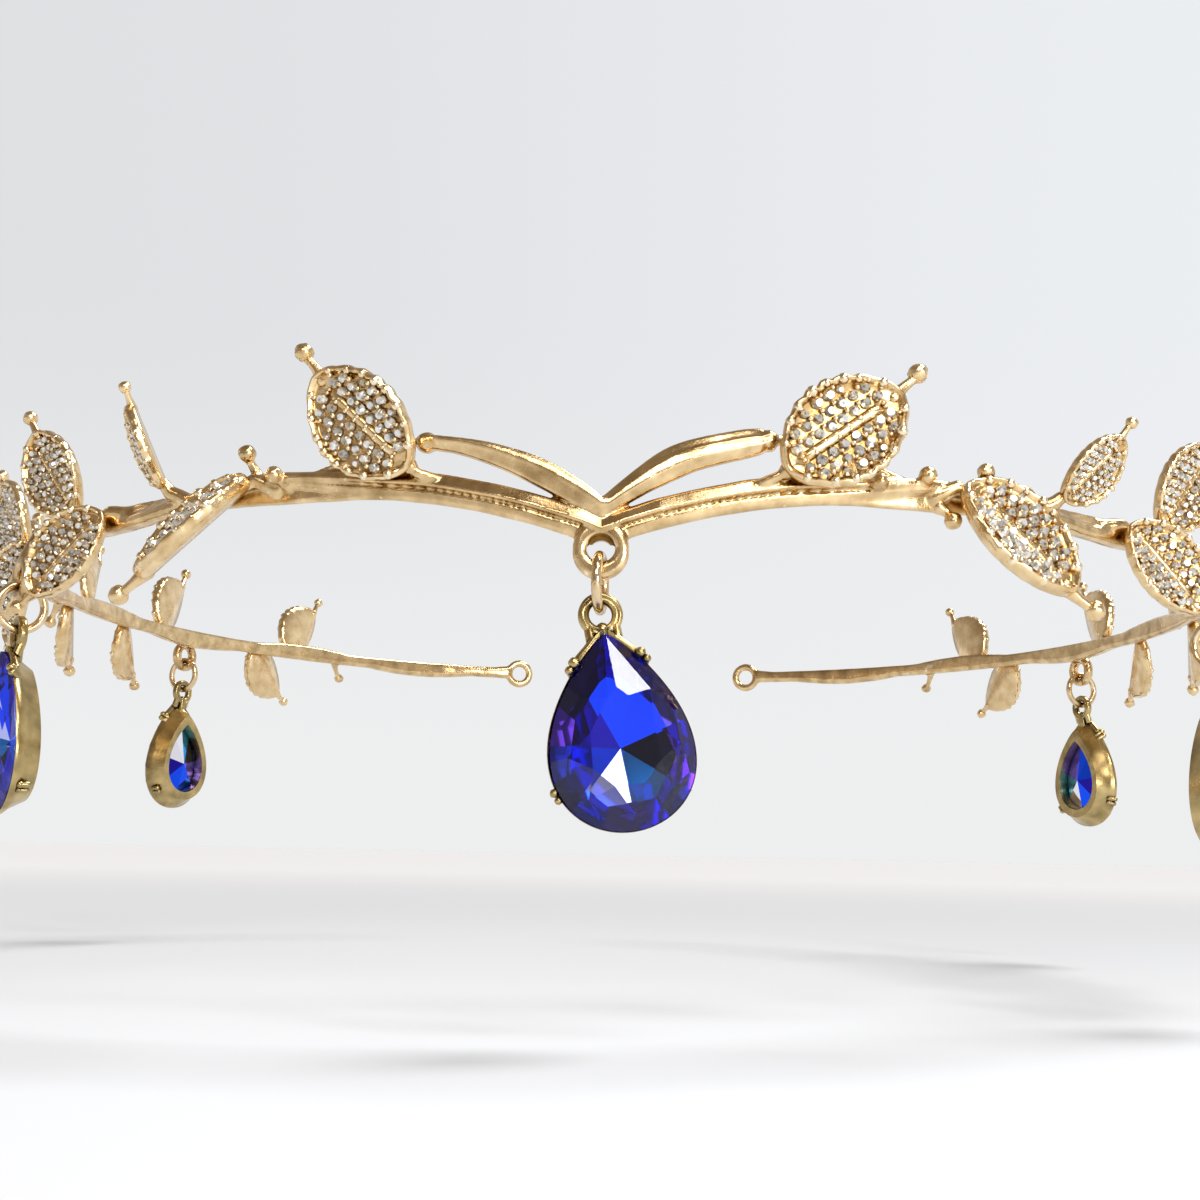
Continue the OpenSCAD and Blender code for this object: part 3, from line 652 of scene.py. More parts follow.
def buildCastFrame(name, part):
    shape = newShape()
    low, high = part["from"], min(part["to"], ringForm["endAngle"])
    isFront = low == 0
    for start, end in [(-high, high)] if isFront else [(low, high), (-low, -high)]:
        angles = anglesBetween(start, end, frameSizes["step"])
        addLoft(shape, [ringOf(a, bandSection(a), bandHeight(a)) for a in angles])
    if isFront:
        addUpperBars(shape)
    else:
        addEndLoops(shape)

    def inPart(row):
        return low <= abs(row["angle"]) < part["to"]

    for row in filter(inPart, leafRows):
        for side in sidesOf(row["side"]):
            addStem(shape, row, side)
    for number, row in enumerate(twigRows):
        for side in sidesOf(row["side"]) if inPart(row) else ():
            addTwig(shape, stemFrame(row, stemSizes["twigOut"]), row["length"], number, side < 0)
    for drop in filter(inPart, drops):
        addEye(shape, drop)
    piece = makePiece(name, meshOf(name, shape), [paleGold])
    remesh = piece.modifiers.new("cast", "REMESH")
    remesh.mode, remesh.voxel_size = "VOXEL", part["voxel"] * mm
    soften = piece.modifiers.new("soften", "SMOOTH")
    soften.factor, soften.iterations = 0.5, 2
    evaluatedMesh(piece)
    if isFront:
        drillEye(piece, drops[0])
    smoothShade(piece, 50)
    settle(piece, "band", "gold", "circlet")
    print(name, len(piece.data.polygons), "faces")


def drillEye(piece, drop):
    # A wide hole into the front of the band above the link, and a narrower one right through for the link's swing
    s, place = dropSizes, eyeFrame(drop)
    place.translation *= mm
    for less, out in ((0, s["drillOut"]), (s["drillStep"], 0)):
        radius = (s["eye"] - s["eyeTube"] - less) * mm
        work = bmesh.new()
        bmesh.ops.create_cone(
            work, cap_ends=True, segments=48, radius1=radius, radius2=radius, depth=s["drillLength"] * mm,
            matrix=place @ Matrix.Translation((0, -less * mm, out * mm)),
        )
        drill = makePiece("drill", meshFrom(work, "drill"), [paleGold])
        cut = piece.modifiers.new("drill", "BOOLEAN")
        cut.operation, cut.object, cut.solver = "DIFFERENCE", drill, "EXACT"
        evaluatedMesh(piece)
        bpy.data.objects.remove(drill)


for partName, part in frameParts.items():
    buildCastFrame(partName, part)


# Leaves: a folded plate with a raised, lobed rim, a midrib and a ball on a twig
def leafHalf(t):
    return max(0.0, math.sin(math.pi * t ** 0.95)) ** 0.6


def leafEdge(t, side, inset, z, lobes):
    s = leafSizes
    wide = 1 + lobes * (2 * abs(math.sin(math.pi * s["lobes"] * t)) - 1)
    y = side * (s["halfWidth"] - inset) * leafHalf(t) * wide
    return Vector((inset + (s["length"] - 2 * inset) * t, y, z + s["fold"] * abs(y)))


def leafShape(seed):
    s, shape = leafSizes, newShape()
    n, thick = s["columns"], s["thick"]
    spots = [(1 - cosD(180 * i / n)) / 2 for i in range(n + 1)]
    order = [(t, 1) for t in spots] + [(t, -1) for t in reversed(spots[1:-1])]
    # Rings from the back over the rim to the floor: inset, height, share of the lobes
    rows = (
        (0.35, -thick, 0.4), (0.08, -0.7 * thick, 0.8), (0.0, -0.3 * thick, 1), (0.0, 0.2, 1), (0.12, 0.45, 1),
        (0.32, s["rim"], 0.9), (0.52, 0.42, 0.7), (0.66, 0.12, 0.5), (0.8, 0.0, 0.3),
    )
    rings = []
    for inset, z, lobes in rows:
        ring = [leafEdge(t, side, inset, z, s["lobeReach"] * lobes) for t, side in order]
        for p in ring if z > 0.3 else ():
            p.z += s["rimWave"] * noise.noise(Vector((p.x, p.y, seed * 3.1)) * 0.9)
        rings.append(ring)
    addLoft(shape, rings, caps=False)

    def backMiddle(edge):
        return [Vector((edge.x, 0, -thick - s["backDome"]))]

    def floorLine(edge):
        # From the upper side over the midrib to the lower side
        x, length = edge.x, s["length"]
        share = ease(x, s["ribStart"], s["ribStart"] + 1.5) * (1 - ease(x, length - 3.6, length - 1.6))
        foot = min(s["ribHalf"] + 0.12, 0.6 * edge.y)
        upper = [(foot + 0.55 * (edge.y - foot), 0), (foot, 0), (0.6 * foot, 0.75 * s["ribCrest"] * share)]
        line = []
        for y, z in upper + [(0, s["ribCrest"] * share)] + [(-y, z) for y, z in reversed(upper)]:
            rough = s["floorWave"] * noise.noise(Vector((x * 1.3, y * 1.3, seed * 1.7)))
            line.append(Vector((x, y, z + s["fold"] * abs(y) + rough)))
        return line

    fillAcross(shape, 0, backMiddle)
    fillAcross(shape, (len(rows) - 1) * len(order), floorLine)
    place = Matrix.Translation((s["length"] - thick, 0, -thick / 2)) @ turned(stemSizes["twigTurn"], "Z")
    addTwig(shape, place, stemSizes["twig"], seed)
    return shape


def fillAcross(shape, start, between):
    # Strips across the ring that begins at start; between gives the points from its upper to its lower edge
    points, n = shape["points"], leafSizes["columns"]
    lines = []
    for i in range(n + 1):
        line = [start + i]
        if 0 < i < n:
            inner = between(points[start + i])
            line += [*range(len(points), len(points) + len(inner)), start + 2 * n - i]
            points += inner
        lines.append(line)
    for a, b in zip(lines, lines[1:]):
        if len(a) == 1:
            shape["faces"] += [(a[0], b[k], b[k + 1]) for k in range(len(b) - 1)]
        elif len(b) == 1:
            shape["faces"] += [(b[0], a[k + 1], a[k]) for k in range(len(a) - 1)]
        else:
            shape["faces"] += [(a[k], b[k], b[k + 1], a[k + 1]) for k in range(len(a) - 1)]


def buildLeaves():
    shape = newShape()
    for number, row in enumerate(leafRows):
        for side in sidesOf(row["side"]):
            addShape(shape, leafShape(number + 0.5 * side), leafFrame(row), side < 0)
    return shape


leaves = settle(makePiece("leaves", meshOf("leaves", buildLeaves()), [litLeafGold], 55), "band", "gold", "circlet")
print("leaves", len(leaves.data.polygons), "faces")

# Small stones, grains and rim beads: one node tree sets them on spots with a facing and a size
spotSizes = {
    "stone": 0.56, "stoneHeight": 0.5, "stoneLift": 0.1, "table": 0.6, "first": 1.9, "pitch": 1.27, "shift": 0.64,
    "row": 1.02, "rowPitch": 1.16, "rows": 3, "inRow": 9, "edgeGap": -0.06, "tipGap": 1.6, "fillInset": 1.15,
    "fillStep": 0.25, "fillReach": (0.1, 0.9), "fillGap": 0.98, "fillSize": 0.74, "tilt": 0.24, "sizes": (0.94, 1.06),
    "grain": 0.23, "grainRows": (0.34, -0.66), "grainLift": (0.22, 0.4), "grainSizes": (0.8, 1.25),
    "bead": 0.46, "beadInset": 0.45, "beadLift": (0.2, 0.34), "beadShift": 0.12, "beadSizes": (0.8, 1.2),
}


def setterTree(name, kind):
    # A cut stone or a ball on every point, turned to the point's facing and scaled by its size
    tree = bpy.data.node_groups.new(name, "GeometryNodeTree")
    sizes = ("Radius", "Height", "Table Share") if kind == "stone" else ("Radius",)
    inputs = [("Geometry", "Geometry"), *((label, "Float") for label in sizes), ("Turn Seed", "Int"),
              ("Material", "Material")]
    for label, socket in inputs:
        tree.interface.new_socket(label, in_out="INPUT", socket_type="NodeSocket" + socket)
    tree.interface.new_socket("Geometry", in_out="OUTPUT", socket_type="NodeSocketGeometry")
    given = addNode(tree, "NodeGroupInput", -1000, 0)
    result = addNode(tree, "NodeGroupOutput", 900, 0)
    attribute = "GeometryNodeInputNamedAttribute"
    facing = addNode(tree, attribute, -700, -200, {"Name": "facing"}, data_type="FLOAT_VECTOR")
    size = addNode(tree, attribute, -700, -400, {"Name": "size"}, data_type="FLOAT")
    align = addNode(tree, "FunctionNodeAlignRotationToVector", -400, -200, axis="Z")
    turn = addNode(tree, "FunctionNodeRandomValue", -700, -600, {"Min": 0, "Max": 2 * math.pi}, data_type="FLOAT")
    spin = addNode(tree, "FunctionNodeAxisAngleToRotation", -400, -600, {"Axis": (0, 0, 1)})
    rotate = addNode(tree, "FunctionNodeRotateRotation", -150, -300, rotation_space="LOCAL")
    put = addNode(tree, "GeometryNodeInstanceOnPoints", 200, 0)
    realize = addNode(tree, "GeometryNodeRealizeInstances", 450, 0)
    paint = addNode(tree, "GeometryNodeSetMaterial", 650, 0)
    wire(
        tree, (facing, "Attribute", align, "Vector"), (given, "Turn Seed", turn, "Seed"), (turn, 1, spin, "Angle"),
        (align, "Rotation", rotate, "Rotation"), (spin, "Rotation", rotate, "Rotate By"),
        (given, "Geometry", put, "Points"), (rotate, "Rotation", put, "Rotation"), (size, "Attribute", put, "Scale"),
        (put, "Instances", realize, "Geometry"), (realize, "Geometry", paint, "Geometry"),
        (given, "Material", paint, "Material"), (paint, "Geometry", result, "Geometry"),
    )
    if kind == "ball":
        ball = addNode(tree, "GeometryNodeMeshUVSphere", -400, 300, {"Segments": 8, "Rings": 5})
        wire(tree, (given, "Radius", ball, "Radius"), (ball, "Mesh", put, "Instance"))
        return tree
    # A stone is an eight-sided crown over a shallower cone
    crown = addNode(tree, "GeometryNodeMeshCone", -400, 300, {"Vertices": 8})
    under = addNode(tree, "GeometryNodeMeshCone", -400, 600, {"Vertices": 8})
    table = addMath(tree, -700, 300, "MULTIPLY")
    depth = addMath(tree, -700, 600, "MULTIPLY", {1: 0.4})
    minus = addMath(tree, -600, 900, "MULTIPLY", {1: -1})
    lower = addNode(tree, "ShaderNodeCombineXYZ", -500, 800)
    moved = addNode(tree, "GeometryNodeTransform", -200, 600)
    join = addNode(tree, "GeometryNodeJoinGeometry", 0, 400)
    wire(
        tree, (given, "Radius", table, 0), (given, "Table Share", table, 1), (table, 0, crown, "Radius Top"),
        (given, "Radius", crown, "Radius Bottom"), (given, "Height", crown, "Depth"),
        (given, "Radius", under, "Radius Top"), (table, 0, under, "Radius Bottom"), (given, "Height", depth, 0),
        (depth, 0, under, "Depth"), (depth, 0, minus, 0), (minus, 0, lower, "Z"), (under, "Mesh", moved, "Geometry"),
        (lower, 0, moved, "Translation"), (crown, "Mesh", join, 0), (moved, "Geometry", join, 0),
        (join, 0, put, "Instance"),
    )
    return tree


def setOnSpots(name, tree, spots, values, material, creaseAngle):
    mesh = bpy.data.meshes.new(name)
    mesh.from_pydata([place * mm for place, facing, size in spots], [], [])
    facingData = mesh.attributes.new("facing", "FLOAT_VECTOR", "POINT")
    facingData.data.foreach_set("vector", [c for place, facing, size in spots for c in facing])
    sizeData = mesh.attributes.new("size", "FLOAT", "POINT")
    sizeData.data.foreach_set("value", [size for place, facing, size in spots])
    host = bpy.data.objects.new(name + "Host", mesh)
    scene.collection.objects.link(host)
    setter = host.modifiers.new("setter", "NODES")
    setter.node_group = tree
    sockets = {item.name: item.identifier for item in tree.interface.items_tree if item.in_out == "INPUT"}
    for label, value in values.items():
        setter[sockets[label]] = value
    setter[sockets["Material"]] = material
    result = evaluatedMesh(host)
    for attribute in ("facing", "size"):
        if attribute in result.attributes:
            result.attributes.remove(result.attributes[attribute])
    piece = makePiece(name, result, [material], creaseAngle)
    bpy.data.objects.remove(host)
    return piece


def stoneSpots():
    s, found = spotSizes, []
    for half in (-1, 1):
        for row in range(s["rows"]):
            for k in range(s["inRow"]):
                x = s["first"] + row * s["shift"] + k * s["pitch"]
                y = s["row"] + row * s["rowPitch"]
                room = (leafSizes["halfWidth"] - leafSizes["rimWidth"]) - s["edgeGap"]
                room *= min(leafHalf((x - 0.3) / leafSizes["length"]), leafHalf((x + 0.4) / leafSizes["length"]))
                if y + s["stone"] < room and x < leafSizes["length"] - s["tipGap"]:
                    found.append((x, half * y))
    return found


def onLeaves(makeSpots):
    # Spots of every leaf in the ring's frame: place, facing and size
    result = []
    for number, row in enumerate(leafRows):
        place = leafFrame(row)
        for side in sidesOf(row["side"]):
            for local, facing, size in makeSpots(number):
                p = place @ local
                f = (place.to_3x3() @ facing).normalized()
                if side < 0:
                    p, f = Vector((-p.x, p.y, p.z)), Vector((-f.x, f.y, f.z))
                result.append((p, f, size * row["size"]))
    return result


def halfNormal(y):
    lean = math.atan(leafSizes["fold"]) * (1 if y > 0 else -1)
    return Vector((0, -math.sin(lean), math.cos(lean)))


def fillSpots(taken):
    # Smaller stones along the rim, wherever the rows leave room
    s, found = spotSizes, []
    for half in (-1, 1):
        for k in range(int(leafSizes["length"] / s["fillStep"])):
            t = k * s["fillStep"] / leafSizes["length"]
            if not s["fillReach"][0] < t < s["fillReach"][1]:
                continue
            edge = leafEdge(t, half, s["fillInset"], 0, 0)
            if all(math.dist((edge.x, edge.y), other) > s["fillGap"] for other in taken + found):
                found.append((edge.x, edge.y))
    return found


rowSpots = stoneSpots()
rimSpots = fillSpots(rowSpots)


def leafStones(number):
    dice, spots, s = random.Random(40 + number), [], spotSizes
    for x, y in rowSpots + rimSpots:
        up = halfNormal(y)
        at = Vector((x, y, leafSizes["fold"] * abs(y))) + up * s["stoneLift"]
        tilt = Vector((dice.uniform(-s["tilt"], s["tilt"]), dice.uniform(-s["tilt"], s["tilt"]), 0))
        size = 1.0 if (x, y) in rowSpots else s["fillSize"]
        spots.append((at, (up + tilt).normalized(), size * dice.uniform(*s["sizes"])))
    return spots


def leafGrains(number):
    # Little grains of metal that hold the stones, between neighbours of the rows
    dice, spots, s = random.Random(90 + number), [], spotSizes
    for x, y in rowSpots:
        for dx, share in zip((s["pitch"] / 2, 0.0), s["grainRows"]):
            gx, gy = x + dx, y + share * s["rowPitch"] * (1 if y > 0 else -1)
            up = halfNormal(gy)
            at = Vector((gx, gy, leafSizes["fold"] * abs(gy))) + up * dice.uniform(*s["grainLift"])
            spots.append((at, up, dice.uniform(*s["grainSizes"])))
    return spots


def rimBeads(number):
    # Lobes of the rim where it swells, bright with a painted highlight from the lighter bead gold
    dice, spots, s, lobes = random.Random(140 + number), [], spotSizes, leafSizes["lobes"]
    for half in (1, -1):
        for k in range(lobes):
            t = (k + 0.5 + dice.uniform(-s["beadShift"], s["beadShift"])) / lobes
            at = leafEdge(t, half, s["beadInset"], dice.uniform(*s["beadLift"]), leafSizes["lobeReach"])
            spots.append((at, Vector((0, 0, 1)), dice.uniform(*s["beadSizes"])))
    return spots


stoneTree = setterTree("stoneSetter", "stone")
ballTree = setterTree("ballSetter", "ball")
stoneValues = {
    "Radius": spotSizes["stone"] * mm, "Height": spotSizes["stoneHeight"] * mm, "Table Share": spotSizes["table"],
    "Turn Seed": 7,
}
paveStones = setOnSpots("paveStones", stoneTree, onLeaves(leafStones), stoneValues, clearStone, None)
settle(paveStones, "band", "clear_stone", "leaf_stones")
print("paveStones", len(paveStones.data.polygons), "faces")
for name, makeSpots, size in (("paveGrains", leafGrains, "grain"), ("leafRimBeads", rimBeads, "bead")):
    ballValues = {"Radius": spotSizes[size] * mm, "Turn Seed": 3}
    balls = setOnSpots(name, ballTree, onLeaves(makeSpots), ballValues, litBeadGold, 60)
    settle(balls, "band", "gold")
    print(name, len(balls.data.polygons), "faces")


# Pear stone and its setting, in the loop's frame: x along the band, y up, z out
pearSizes = {
    "width": 13, "height": 17.6, "crown": 2.3, "pavilion": 2.6, "power": 0.7, "peak": 0.821, "middle": 0.58,
    "girdle": 0.25, "crownShare": 0.78, "crownAt": 0.62, "tipShare": 0.97, "tipAt": 0.3, "tableShare": 0.5,
    "backShare": 0.6, "backAt": 0.62, "outline": 96, "facets": 8,
    "crownTurns": (0, 58, 102, 141, 180, 219, 258, 302), "tableTurns": (34, 80, 122, 160, 200, 238, 280, 326),
    "mainReflectionTones": (0.45, 0.5, 0.0, 0.86, 1.0, 0.45, 0.2, 0.42), "mainTurn": 20,
    "edgeReflectionTones": (0.34, 0.68, 0.28, 0.6, 0.68, 0.76, 0.54, 0.66, 0.4, 0.14, 0.32, 0.5, 0.6, 0.1, 0.12, 0.2),
}
cupSizes = {
    "wall": 0.12, "gap": 0.02, "floor": 0.35, "bezel": 0.6, "lower": 0.93, "back": 0.82, "opening": 0.62,
    "points": 96, "clawSpread": 2.6, "tipFlare": (0.5, 14, 24), "sideFlare": (0.13, 275, 36),
    "neck": 0.62, "neckTop": -1.3, "neckFoot": -3.15, "flareSpots": ((22, 0.3), (32, 0.28), (42, 0.34)),
    "flareRadii": (0.45, 0.52, 0.46, 0.42, 0.46),
}


# Section of the holder's loop, outwards and sideways: bevelled edges and a groove in each flat face
loopSection = (
    (0.5, -0.26), (0.5, 0.26), (0.4, 0.42), (0.22, 0.47), (0.1, 0.38), (-0.1, 0.38), (-0.22, 0.47), (-0.4, 0.38),
    (-0.5, 0.18), (-0.5, -0.18), (-0.4, -0.38), (-0.22, -0.47), (-0.1, -0.38), (0.1, -0.38), (0.22, -0.47),
    (0.4, -0.42),
)


# Pairs of balls that hold the stone: place on the outline, distance outside it, height over the girdle, two radii
claws = (
    (46, 0.5, 0.1, 0.52, 0.4), (312, 0.55, 0.1, 0.42, 0.54), (237, 0.32, -0.35, 0.36, 0.42),
    (134, -0.1, -1.1, 0.4, 0.34),
)


def pearPoint(t, share, grow=0.0):
    p = pearSizes
    t = t % 360
    u, side = (360 - t, -1) if t > 180 else (t, 1)
    x = side * (share * p["width"] / 2 + grow) * sinD(u) * max(0.0, sinD(u / 2)) ** p["power"] / p["peak"]
    reach = (1 - cosD(u)) / 2 - p["middle"]
    y = -dropSizes["tipDown"] - p["height"] * (p["middle"] + reach * (share + 2 * grow / p["height"]))
    return x, y


def pearRing(count, share, z, shift=0.0, grow=0.0):
    return [Vector((*pearPoint(360 * (i + shift) / count, share, grow), z)) for i in range(count)]


def buildStone(shift):
    # The shift turns the facets' tones of painted reflection, so that no two stones look the same
    p, out = pearSizes, dropSizes["stoneOut"]
    h, turn = p["facets"], p["mainTurn"]
    step = 360 / h
    high, low = out + p["crown"], out - p["pavilion"]
    work = bmesh.new()
    top = [work.verts.new(v) for v in pearRing(p["outline"], 1, high)]
    bottom = [work.verts.new(v) for v in pearRing(p["outline"], 1, low)]
    work.faces.new(top)
    work.faces.new(list(reversed(bottom)))
    for k in range(len(top)):
        n = (k + 1) % len(top)
        work.faces.new((bottom[k], bottom[n], top[n], top[k]))
    bmesh.ops.recalc_face_normals(work, faces=work.faces)

    def ringAt(turns, share, z):
        return [Vector((*pearPoint(t, share), z)) for t in turns]

    girdleTop = out + p["girdle"] / 2
    mids = ringAt(p["crownTurns"], p["crownShare"], out + p["crown"] * p["crownAt"])
    mids[0] = Vector((*pearPoint(0, p["tipShare"]), out + p["crown"] * p["tipAt"]))
    table = ringAt(p["tableTurns"], p["tableShare"], high)
    girdleMids, girdleTable = ringAt(p["crownTurns"], 1, girdleTop), ringAt(p["tableTurns"], 1, girdleTop)
    girdleLow = pearRing(2 * h, 1, out - p["girdle"] / 2, 2 * turn / step)
    backs = pearRing(h, p["backShare"], out - p["pavilion"] * p["backAt"], 0.5 + turn / step)
    culet = Vector((0, -dropSizes["tipDown"] - p["height"] * p["middle"], low))
    middle = Vector((culet.x, culet.y, out))
    planes = []
    for k in range(h):
        n, b = (k + 1) % h, (k - 1) % h
        planes.append((table[k], mids[k], mids[n]))
        if k > 0:
            planes += [
                (mids[k], table[b], table[k]), (mids[k], girdleTable[b], girdleMids[k]),
                (mids[k], girdleMids[k], girdleTable[k]),
            ]
        planes += [
            (culet, backs[k], backs[b]), (backs[k], girdleLow[2 * k], girdleLow[2 * k + 1]),
            (backs[k], girdleLow[2 * k + 1], girdleLow[(2 * k + 2) % (2 * h)]),
        ]
    for a, b, c in planes:
        normal = (b - a).cross(c - a).normalized()
        if normal.dot(middle - a) > 0:
            normal.negate()
        everything = work.verts[:] + work.edges[:] + work.faces[:]
        cut = bmesh.ops.bisect_plane(work, geom=everything, dist=1e-5, plane_co=a, plane_no=normal, clear_outer=True)
        rim = [e for e in cut["geom_cut"] if isinstance(e, bmesh.types.BMEdge)]
        if rim:
            bmesh.ops.contextual_create(work, geom=rim)
    bmesh.ops.remove_doubles(work, verts=work.verts, dist=1e-4)
    bmesh.ops.recalc_face_normals(work, faces=work.faces)
    work.normal_update()
    # Tones of painted reflection for each facet, dark to white
    paintedLightTone = work.faces.layers.float.new("facetReflectionTone")
    for face in work.faces:
        centre = face.calc_center_median() - culet
        around = math.degrees(math.atan2(centre.x, centre.y)) % 360 - turn
        byCulet = any((vertex.co - culet).length < 0.05 for vertex in face.verts)
        edge, main = (math.floor(2 * around / step) + shift) % (2 * h), (round(around / step) + shift) % h
        face[paintedLightTone] = p["mainReflectionTones"][main] if byCulet else p["edgeReflectionTones"][edge]
        face.material_index = 1 if face.normal.z < -0.05 else 0
        face.smooth = abs(face.normal.z) < 0.05
    return work


def buildSetting():
    # The cup is open behind, so that the stone shows blue from the back too
    shape, c, p = newShape(), cupSizes, pearSizes
    out, n, gap, wall = dropSizes["stoneOut"], c["points"], c["gap"], c["wall"]
    floorZ = out - p["pavilion"] - 2 * gap

    def rim(z, grow):
        # The wall grows thicker beside the tip, where the loop flares into it
        ring = []
        for i in range(n):
            t = 360 * i / n
            flare = hump(min(t, 360 - t), *c["tipFlare"]) + hump(t, *c["sideFlare"])
            ring.append(Vector((*pearPoint(t, 1, grow + flare), z)))
        return ring

    addLoft(shape, [
        pearRing(n, c["opening"], floorZ + c["floor"]),
        pearRing(n, p["backShare"], out - p["pavilion"] * p["backAt"] - gap, 0, 1.5 * gap),
        pearRing(n, 1, out - 0.6 * p["girdle"], 0, gap),
        rim(out - 0.1, gap + 0.3 * wall), rim(out - 0.04, gap + 0.7 * wall), rim(out - 0.14, gap + wall),
        rim(out - c["bezel"], gap + 0.8 * wall),
        pearRing(n, c["lower"], out - 1.2 * c["bezel"] - 0.5, 0, wall),
        pearRing(n, c["back"], floorZ - c["floor"]),
        pearRing(n, c["opening"] + 0.03, floorZ - c["floor"]),
    ], loop=True)
    addTorus(shape, Matrix.Identity(4), dropSizes["loop"], loopSection, 44)
    # Neck and flares between the loop and the shoulders
    addTube(shape, [(0, c["neckTop"], 0), (0, c["neckFoot"], 0.1)], c["neck"], 12)
    for side in (1, -1):
        along = [(*pearPoint(360 + side * t, 1, reach), 0.8) for t, reach in c["flareSpots"]]
        path = [(side * 1.25, -1.15, 0), (side * 1.2, c["neckFoot"] + 0.8, 0.4), *along]
        addTube(shape, path, c["flareRadii"], 10)
    for t, reach, up, *balls in claws:
        for e, ball in zip((-c["clawSpread"], c["clawSpread"]), balls):
            z, outer, inner = out + up, pearPoint(t + e, 1, reach), pearPoint(t + e, 1, -0.1)
            addBall(shape, (*outer, z), ball, 14, 0.14, t + e)
            addTube(shape, [(*inner, z - 0.75), (*outer, z - 0.1)], [0.42, 0.85 * ball], 8)
    return shape


def buildDrop(drop, shift):
    name, s = drop["name"], dropSizes
    ring, setting, hang = newShape(), newShape(), loopFrame(drop)
    place = eyeFrame(drop) @ Matrix.Translation((0, -ringDown, 0)) @ turned(90 + drop["linkTurn"], "Y")
    addTorus(ring, place, s["ring"], roundSection(s["wire"], 16), 56)
    jumpRing = makePiece("jumpRing_" + name, meshOf("jumpRing", ring), [wireGold], 60)
    settle(jumpRing, "ring_" + name, "antique_gold", "jump_ring_" + name)
    addShape(setting, buildSetting(), hang)
    holder = makePiece("holder_" + name, meshOf("holder", setting), [antiqueGold], 45)
    settle(holder, "drop_" + name, "antique_gold", "setting_" + name)
    work = buildStone(shift)
    work.transform(Matrix.Scale(mm, 4) @ hang)
    stone = makePiece("pearStone_" + name, meshFrom(work, "stone"), [blueCrown, blueBack])
    settle(stone, "drop_" + name, "blue_stone", "pear_" + name)


for number, drop in enumerate(drops):
    buildDrop(drop, 3 * number)
print("drops ready")


# Floor, world, lights and camera; a reach is from, to and the result at each
studio = {
    "floorHeight": -50, "floorSize": 6000, "pale": (0.67, 0.70, 0.745), "far": (0.87, 0.89, 0.925),
    "farReach": (0.12, 0.8), "shade": (0.36, 0.345, 0.32), "shadePlace": (-0.13, -0.32, -0.05),
    "shadeReach": (0.03, 0.24, 1, 0), "cameraPlace": (5.6, -226, -32.5), "cameraYaw": 2.29, "cameraPitch": 9.0,
    "cameraRoll": 1.2, "lens": 46.62, "daylight": (150, 90, 300), "daylightPower": 2.2, "daylightSpread": 24,
}
# Light that the metal sees, by direction, and the backdrop that stands behind the object
sky = {
    "dark": (0.19, 0.125, 0.06), "bright": (0.95, 0.97, 1.0), "front": (-0.8, 0.5, 0.35, 0.85),
    "top": (0.35, 0.8, 1.0, 0.3), "side": (-0.8, 0.3, 0.5, 1.0), "left": (0.74, 0.75, 0.77),
    "right": (0.84, 0.86, 0.89), "across": (-0.4, 0.4), "horizon": (0.855, 0.86, 0.865), "raised": (0.04, 0.34),
}
warmWhite, softWhite, white = (1.0, 0.98, 0.95), (1.0, 0.99, 0.97), (1.0, 1.0, 1.0)
lamps = (
    ("frontBox", (260, -420, 40), (0, -86, 0), (240, 90), 0.6, softWhite),
    ("spark", (231, -245, 271), (3, -89, -17), (64, 64), 0.26, white),
    ("softBox", (121, -279, 236), (0, -89, -26), (90, 90), 0.075, white),
    ("edgeLight", (66, -225, 260), (13, -85, 0), (110, 70), 0.1, warmWhite),
    ("ridgeLight", (54, -413, 189), (8, -87, -1), (280, 110), 0.52, warmWhite),
)


def buildFloor():
    half, z = studio["floorSize"] * mm / 2, studio["floorHeight"] * mm
    mesh = bpy.data.meshes.new("floor")
    mesh.from_pydata([(-half, -half, z), (half, -half, z), (half, half, z), (-half, half, z)], [], [(0, 1, 2, 3)])
    material, tree, shader = newMaterial("floor", {"Roughness": 0.9, "Specular IOR Level": 0.1})
    place = addNode(tree, "ShaderNodeTexCoord", -900, 0)
    away = addNode(tree, "ShaderNodeVectorMath", -700, 0, {1: studio["shadePlace"]}, operation="DISTANCE")
    near = addRange(tree, -500, 0, studio["shadeReach"])
    out = addNode(tree, "ShaderNodeVectorMath", -700, 300, operation="LENGTH")
    far = addRange(tree, -500, 300, studio["farReach"])
    spread = addMix(tree, -450, 500, studio["pale"], studio["far"])
    paintedLightTone = addMix(tree, -250, 0, None, studio["shade"])
    wire(
        tree, (place, "Object", out, 0), (out, "Value", far, "Value"), (far, "Result", spread, "Factor"),
        (spread, 2, paintedLightTone, 6), (place, "Object", away, 0), (away, "Value", near, "Value"),
        (near, "Result", paintedLightTone, "Factor"), (paintedLightTone, 2, shader, "Base Color"),
    )
    makePiece("floor", mesh, [material])


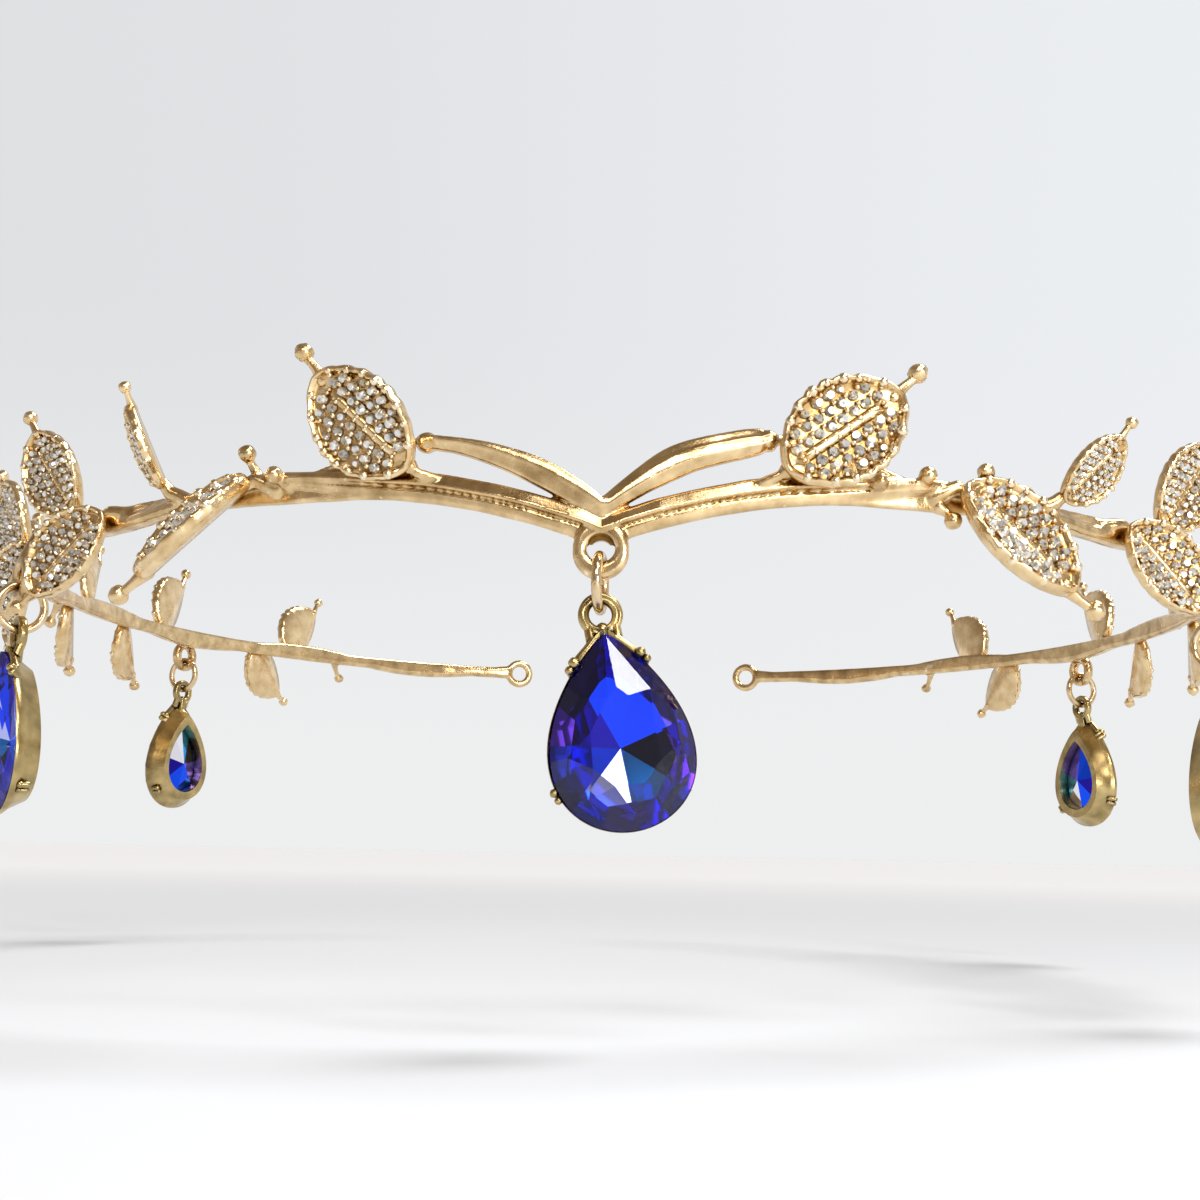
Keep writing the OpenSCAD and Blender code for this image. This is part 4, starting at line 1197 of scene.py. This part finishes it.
def buildWorld():
    world = bpy.data.worlds.new("studio")
    world.use_nodes = True
    scene.world = world
    tree = world.node_tree
    background = tree.nodes["Background"]
    place = addNode(tree, "ShaderNodeTexCoord", -1200, 0)
    split = addNode(tree, "ShaderNodeSeparateXYZ", -1000, 0)
    wire(tree, (place, "Generated", split, 0))

    def along(axis, name, x, y):
        ranged = addRange(tree, x, y, sky[name])
        wire(tree, (split, axis, ranged, "Value"))
        return ranged

    front, top, side = along("Y", "front", -800, 150), along("Z", "top", -800, -150), along("X", "side", -800, -450)
    across, raised = along("X", "across", -600, 500), along("Z", "raised", -600, 750)
    upper = addMath(tree, -600, -200, "MULTIPLY")
    both = addMath(tree, -500, 0, "MULTIPLY")
    tinted = addMix(tree, -350, 0, sky["dark"], sky["bright"])
    backdrop = addMix(tree, -350, 500, sky["left"], sky["right"])
    upward = addMix(tree, -230, 600, sky["horizon"])
    seen = addMix(tree, -120, 100)
    path = addNode(tree, "ShaderNodeLightPath", -350, 300)
    wire(
        tree, (top, "Result", upper, 0), (side, "Result", upper, 1), (front, "Result", both, 0), (upper, 0, both, 1),
        (both, 0, tinted, "Factor"), (across, "Result", backdrop, "Factor"), (raised, "Result", upward, "Factor"),
        (backdrop, 2, upward, 7), (tinted, 2, seen, 6), (upward, 2, seen, 7), (path, "Is Camera Ray", seen, "Factor"),
        (seen, 2, background, "Color"),
    )


def placeLamp(name, data, place, ahead):
    lamp = bpy.data.objects.new(name, data)
    lamp.location = Vector(place) * mm
    lamp.rotation_euler = ahead.to_track_quat("-Z", "Y").to_euler()
    scene.collection.objects.link(lamp)


def addLamp(name, place, target, size, power, color):
    data = bpy.data.lights.new(name, "AREA")
    data.shape, data.size, data.size_y = "RECTANGLE", size[0] * mm, size[1] * mm
    data.energy, data.color = power, color
    placeLamp(name, data, place, Vector(target) - Vector(place))


def addDaylight():
    # Broad daylight over the whole floor, from above and behind
    data = bpy.data.lights.new("daylight", "SUN")
    data.energy, data.angle, data.color = studio["daylightPower"], math.radians(studio["daylightSpread"]), softWhite
    placeLamp("daylight", data, studio["daylight"], -Vector(studio["daylight"]))


def buildCamera():
    data = bpy.data.cameras.new("camera")
    data.lens, data.sensor_width, data.clip_start = studio["lens"], 36, 0.005
    camera = bpy.data.objects.new("camera", data)
    turn = turned(studio["cameraYaw"], "Z") @ turned(90 + studio["cameraPitch"], "X")
    turn = turn @ turned(studio["cameraRoll"], "Z")
    camera.matrix_world = Matrix.Translation(Vector(studio["cameraPlace"]) * mm) @ turn
    scene.collection.objects.link(camera)
    scene.camera = camera


buildFloor()
buildWorld()
buildCamera()
addDaylight()
for lamp in lamps:
    addLamp(*lamp)
scene.view_settings.view_transform = "Standard"
print("studio ready")
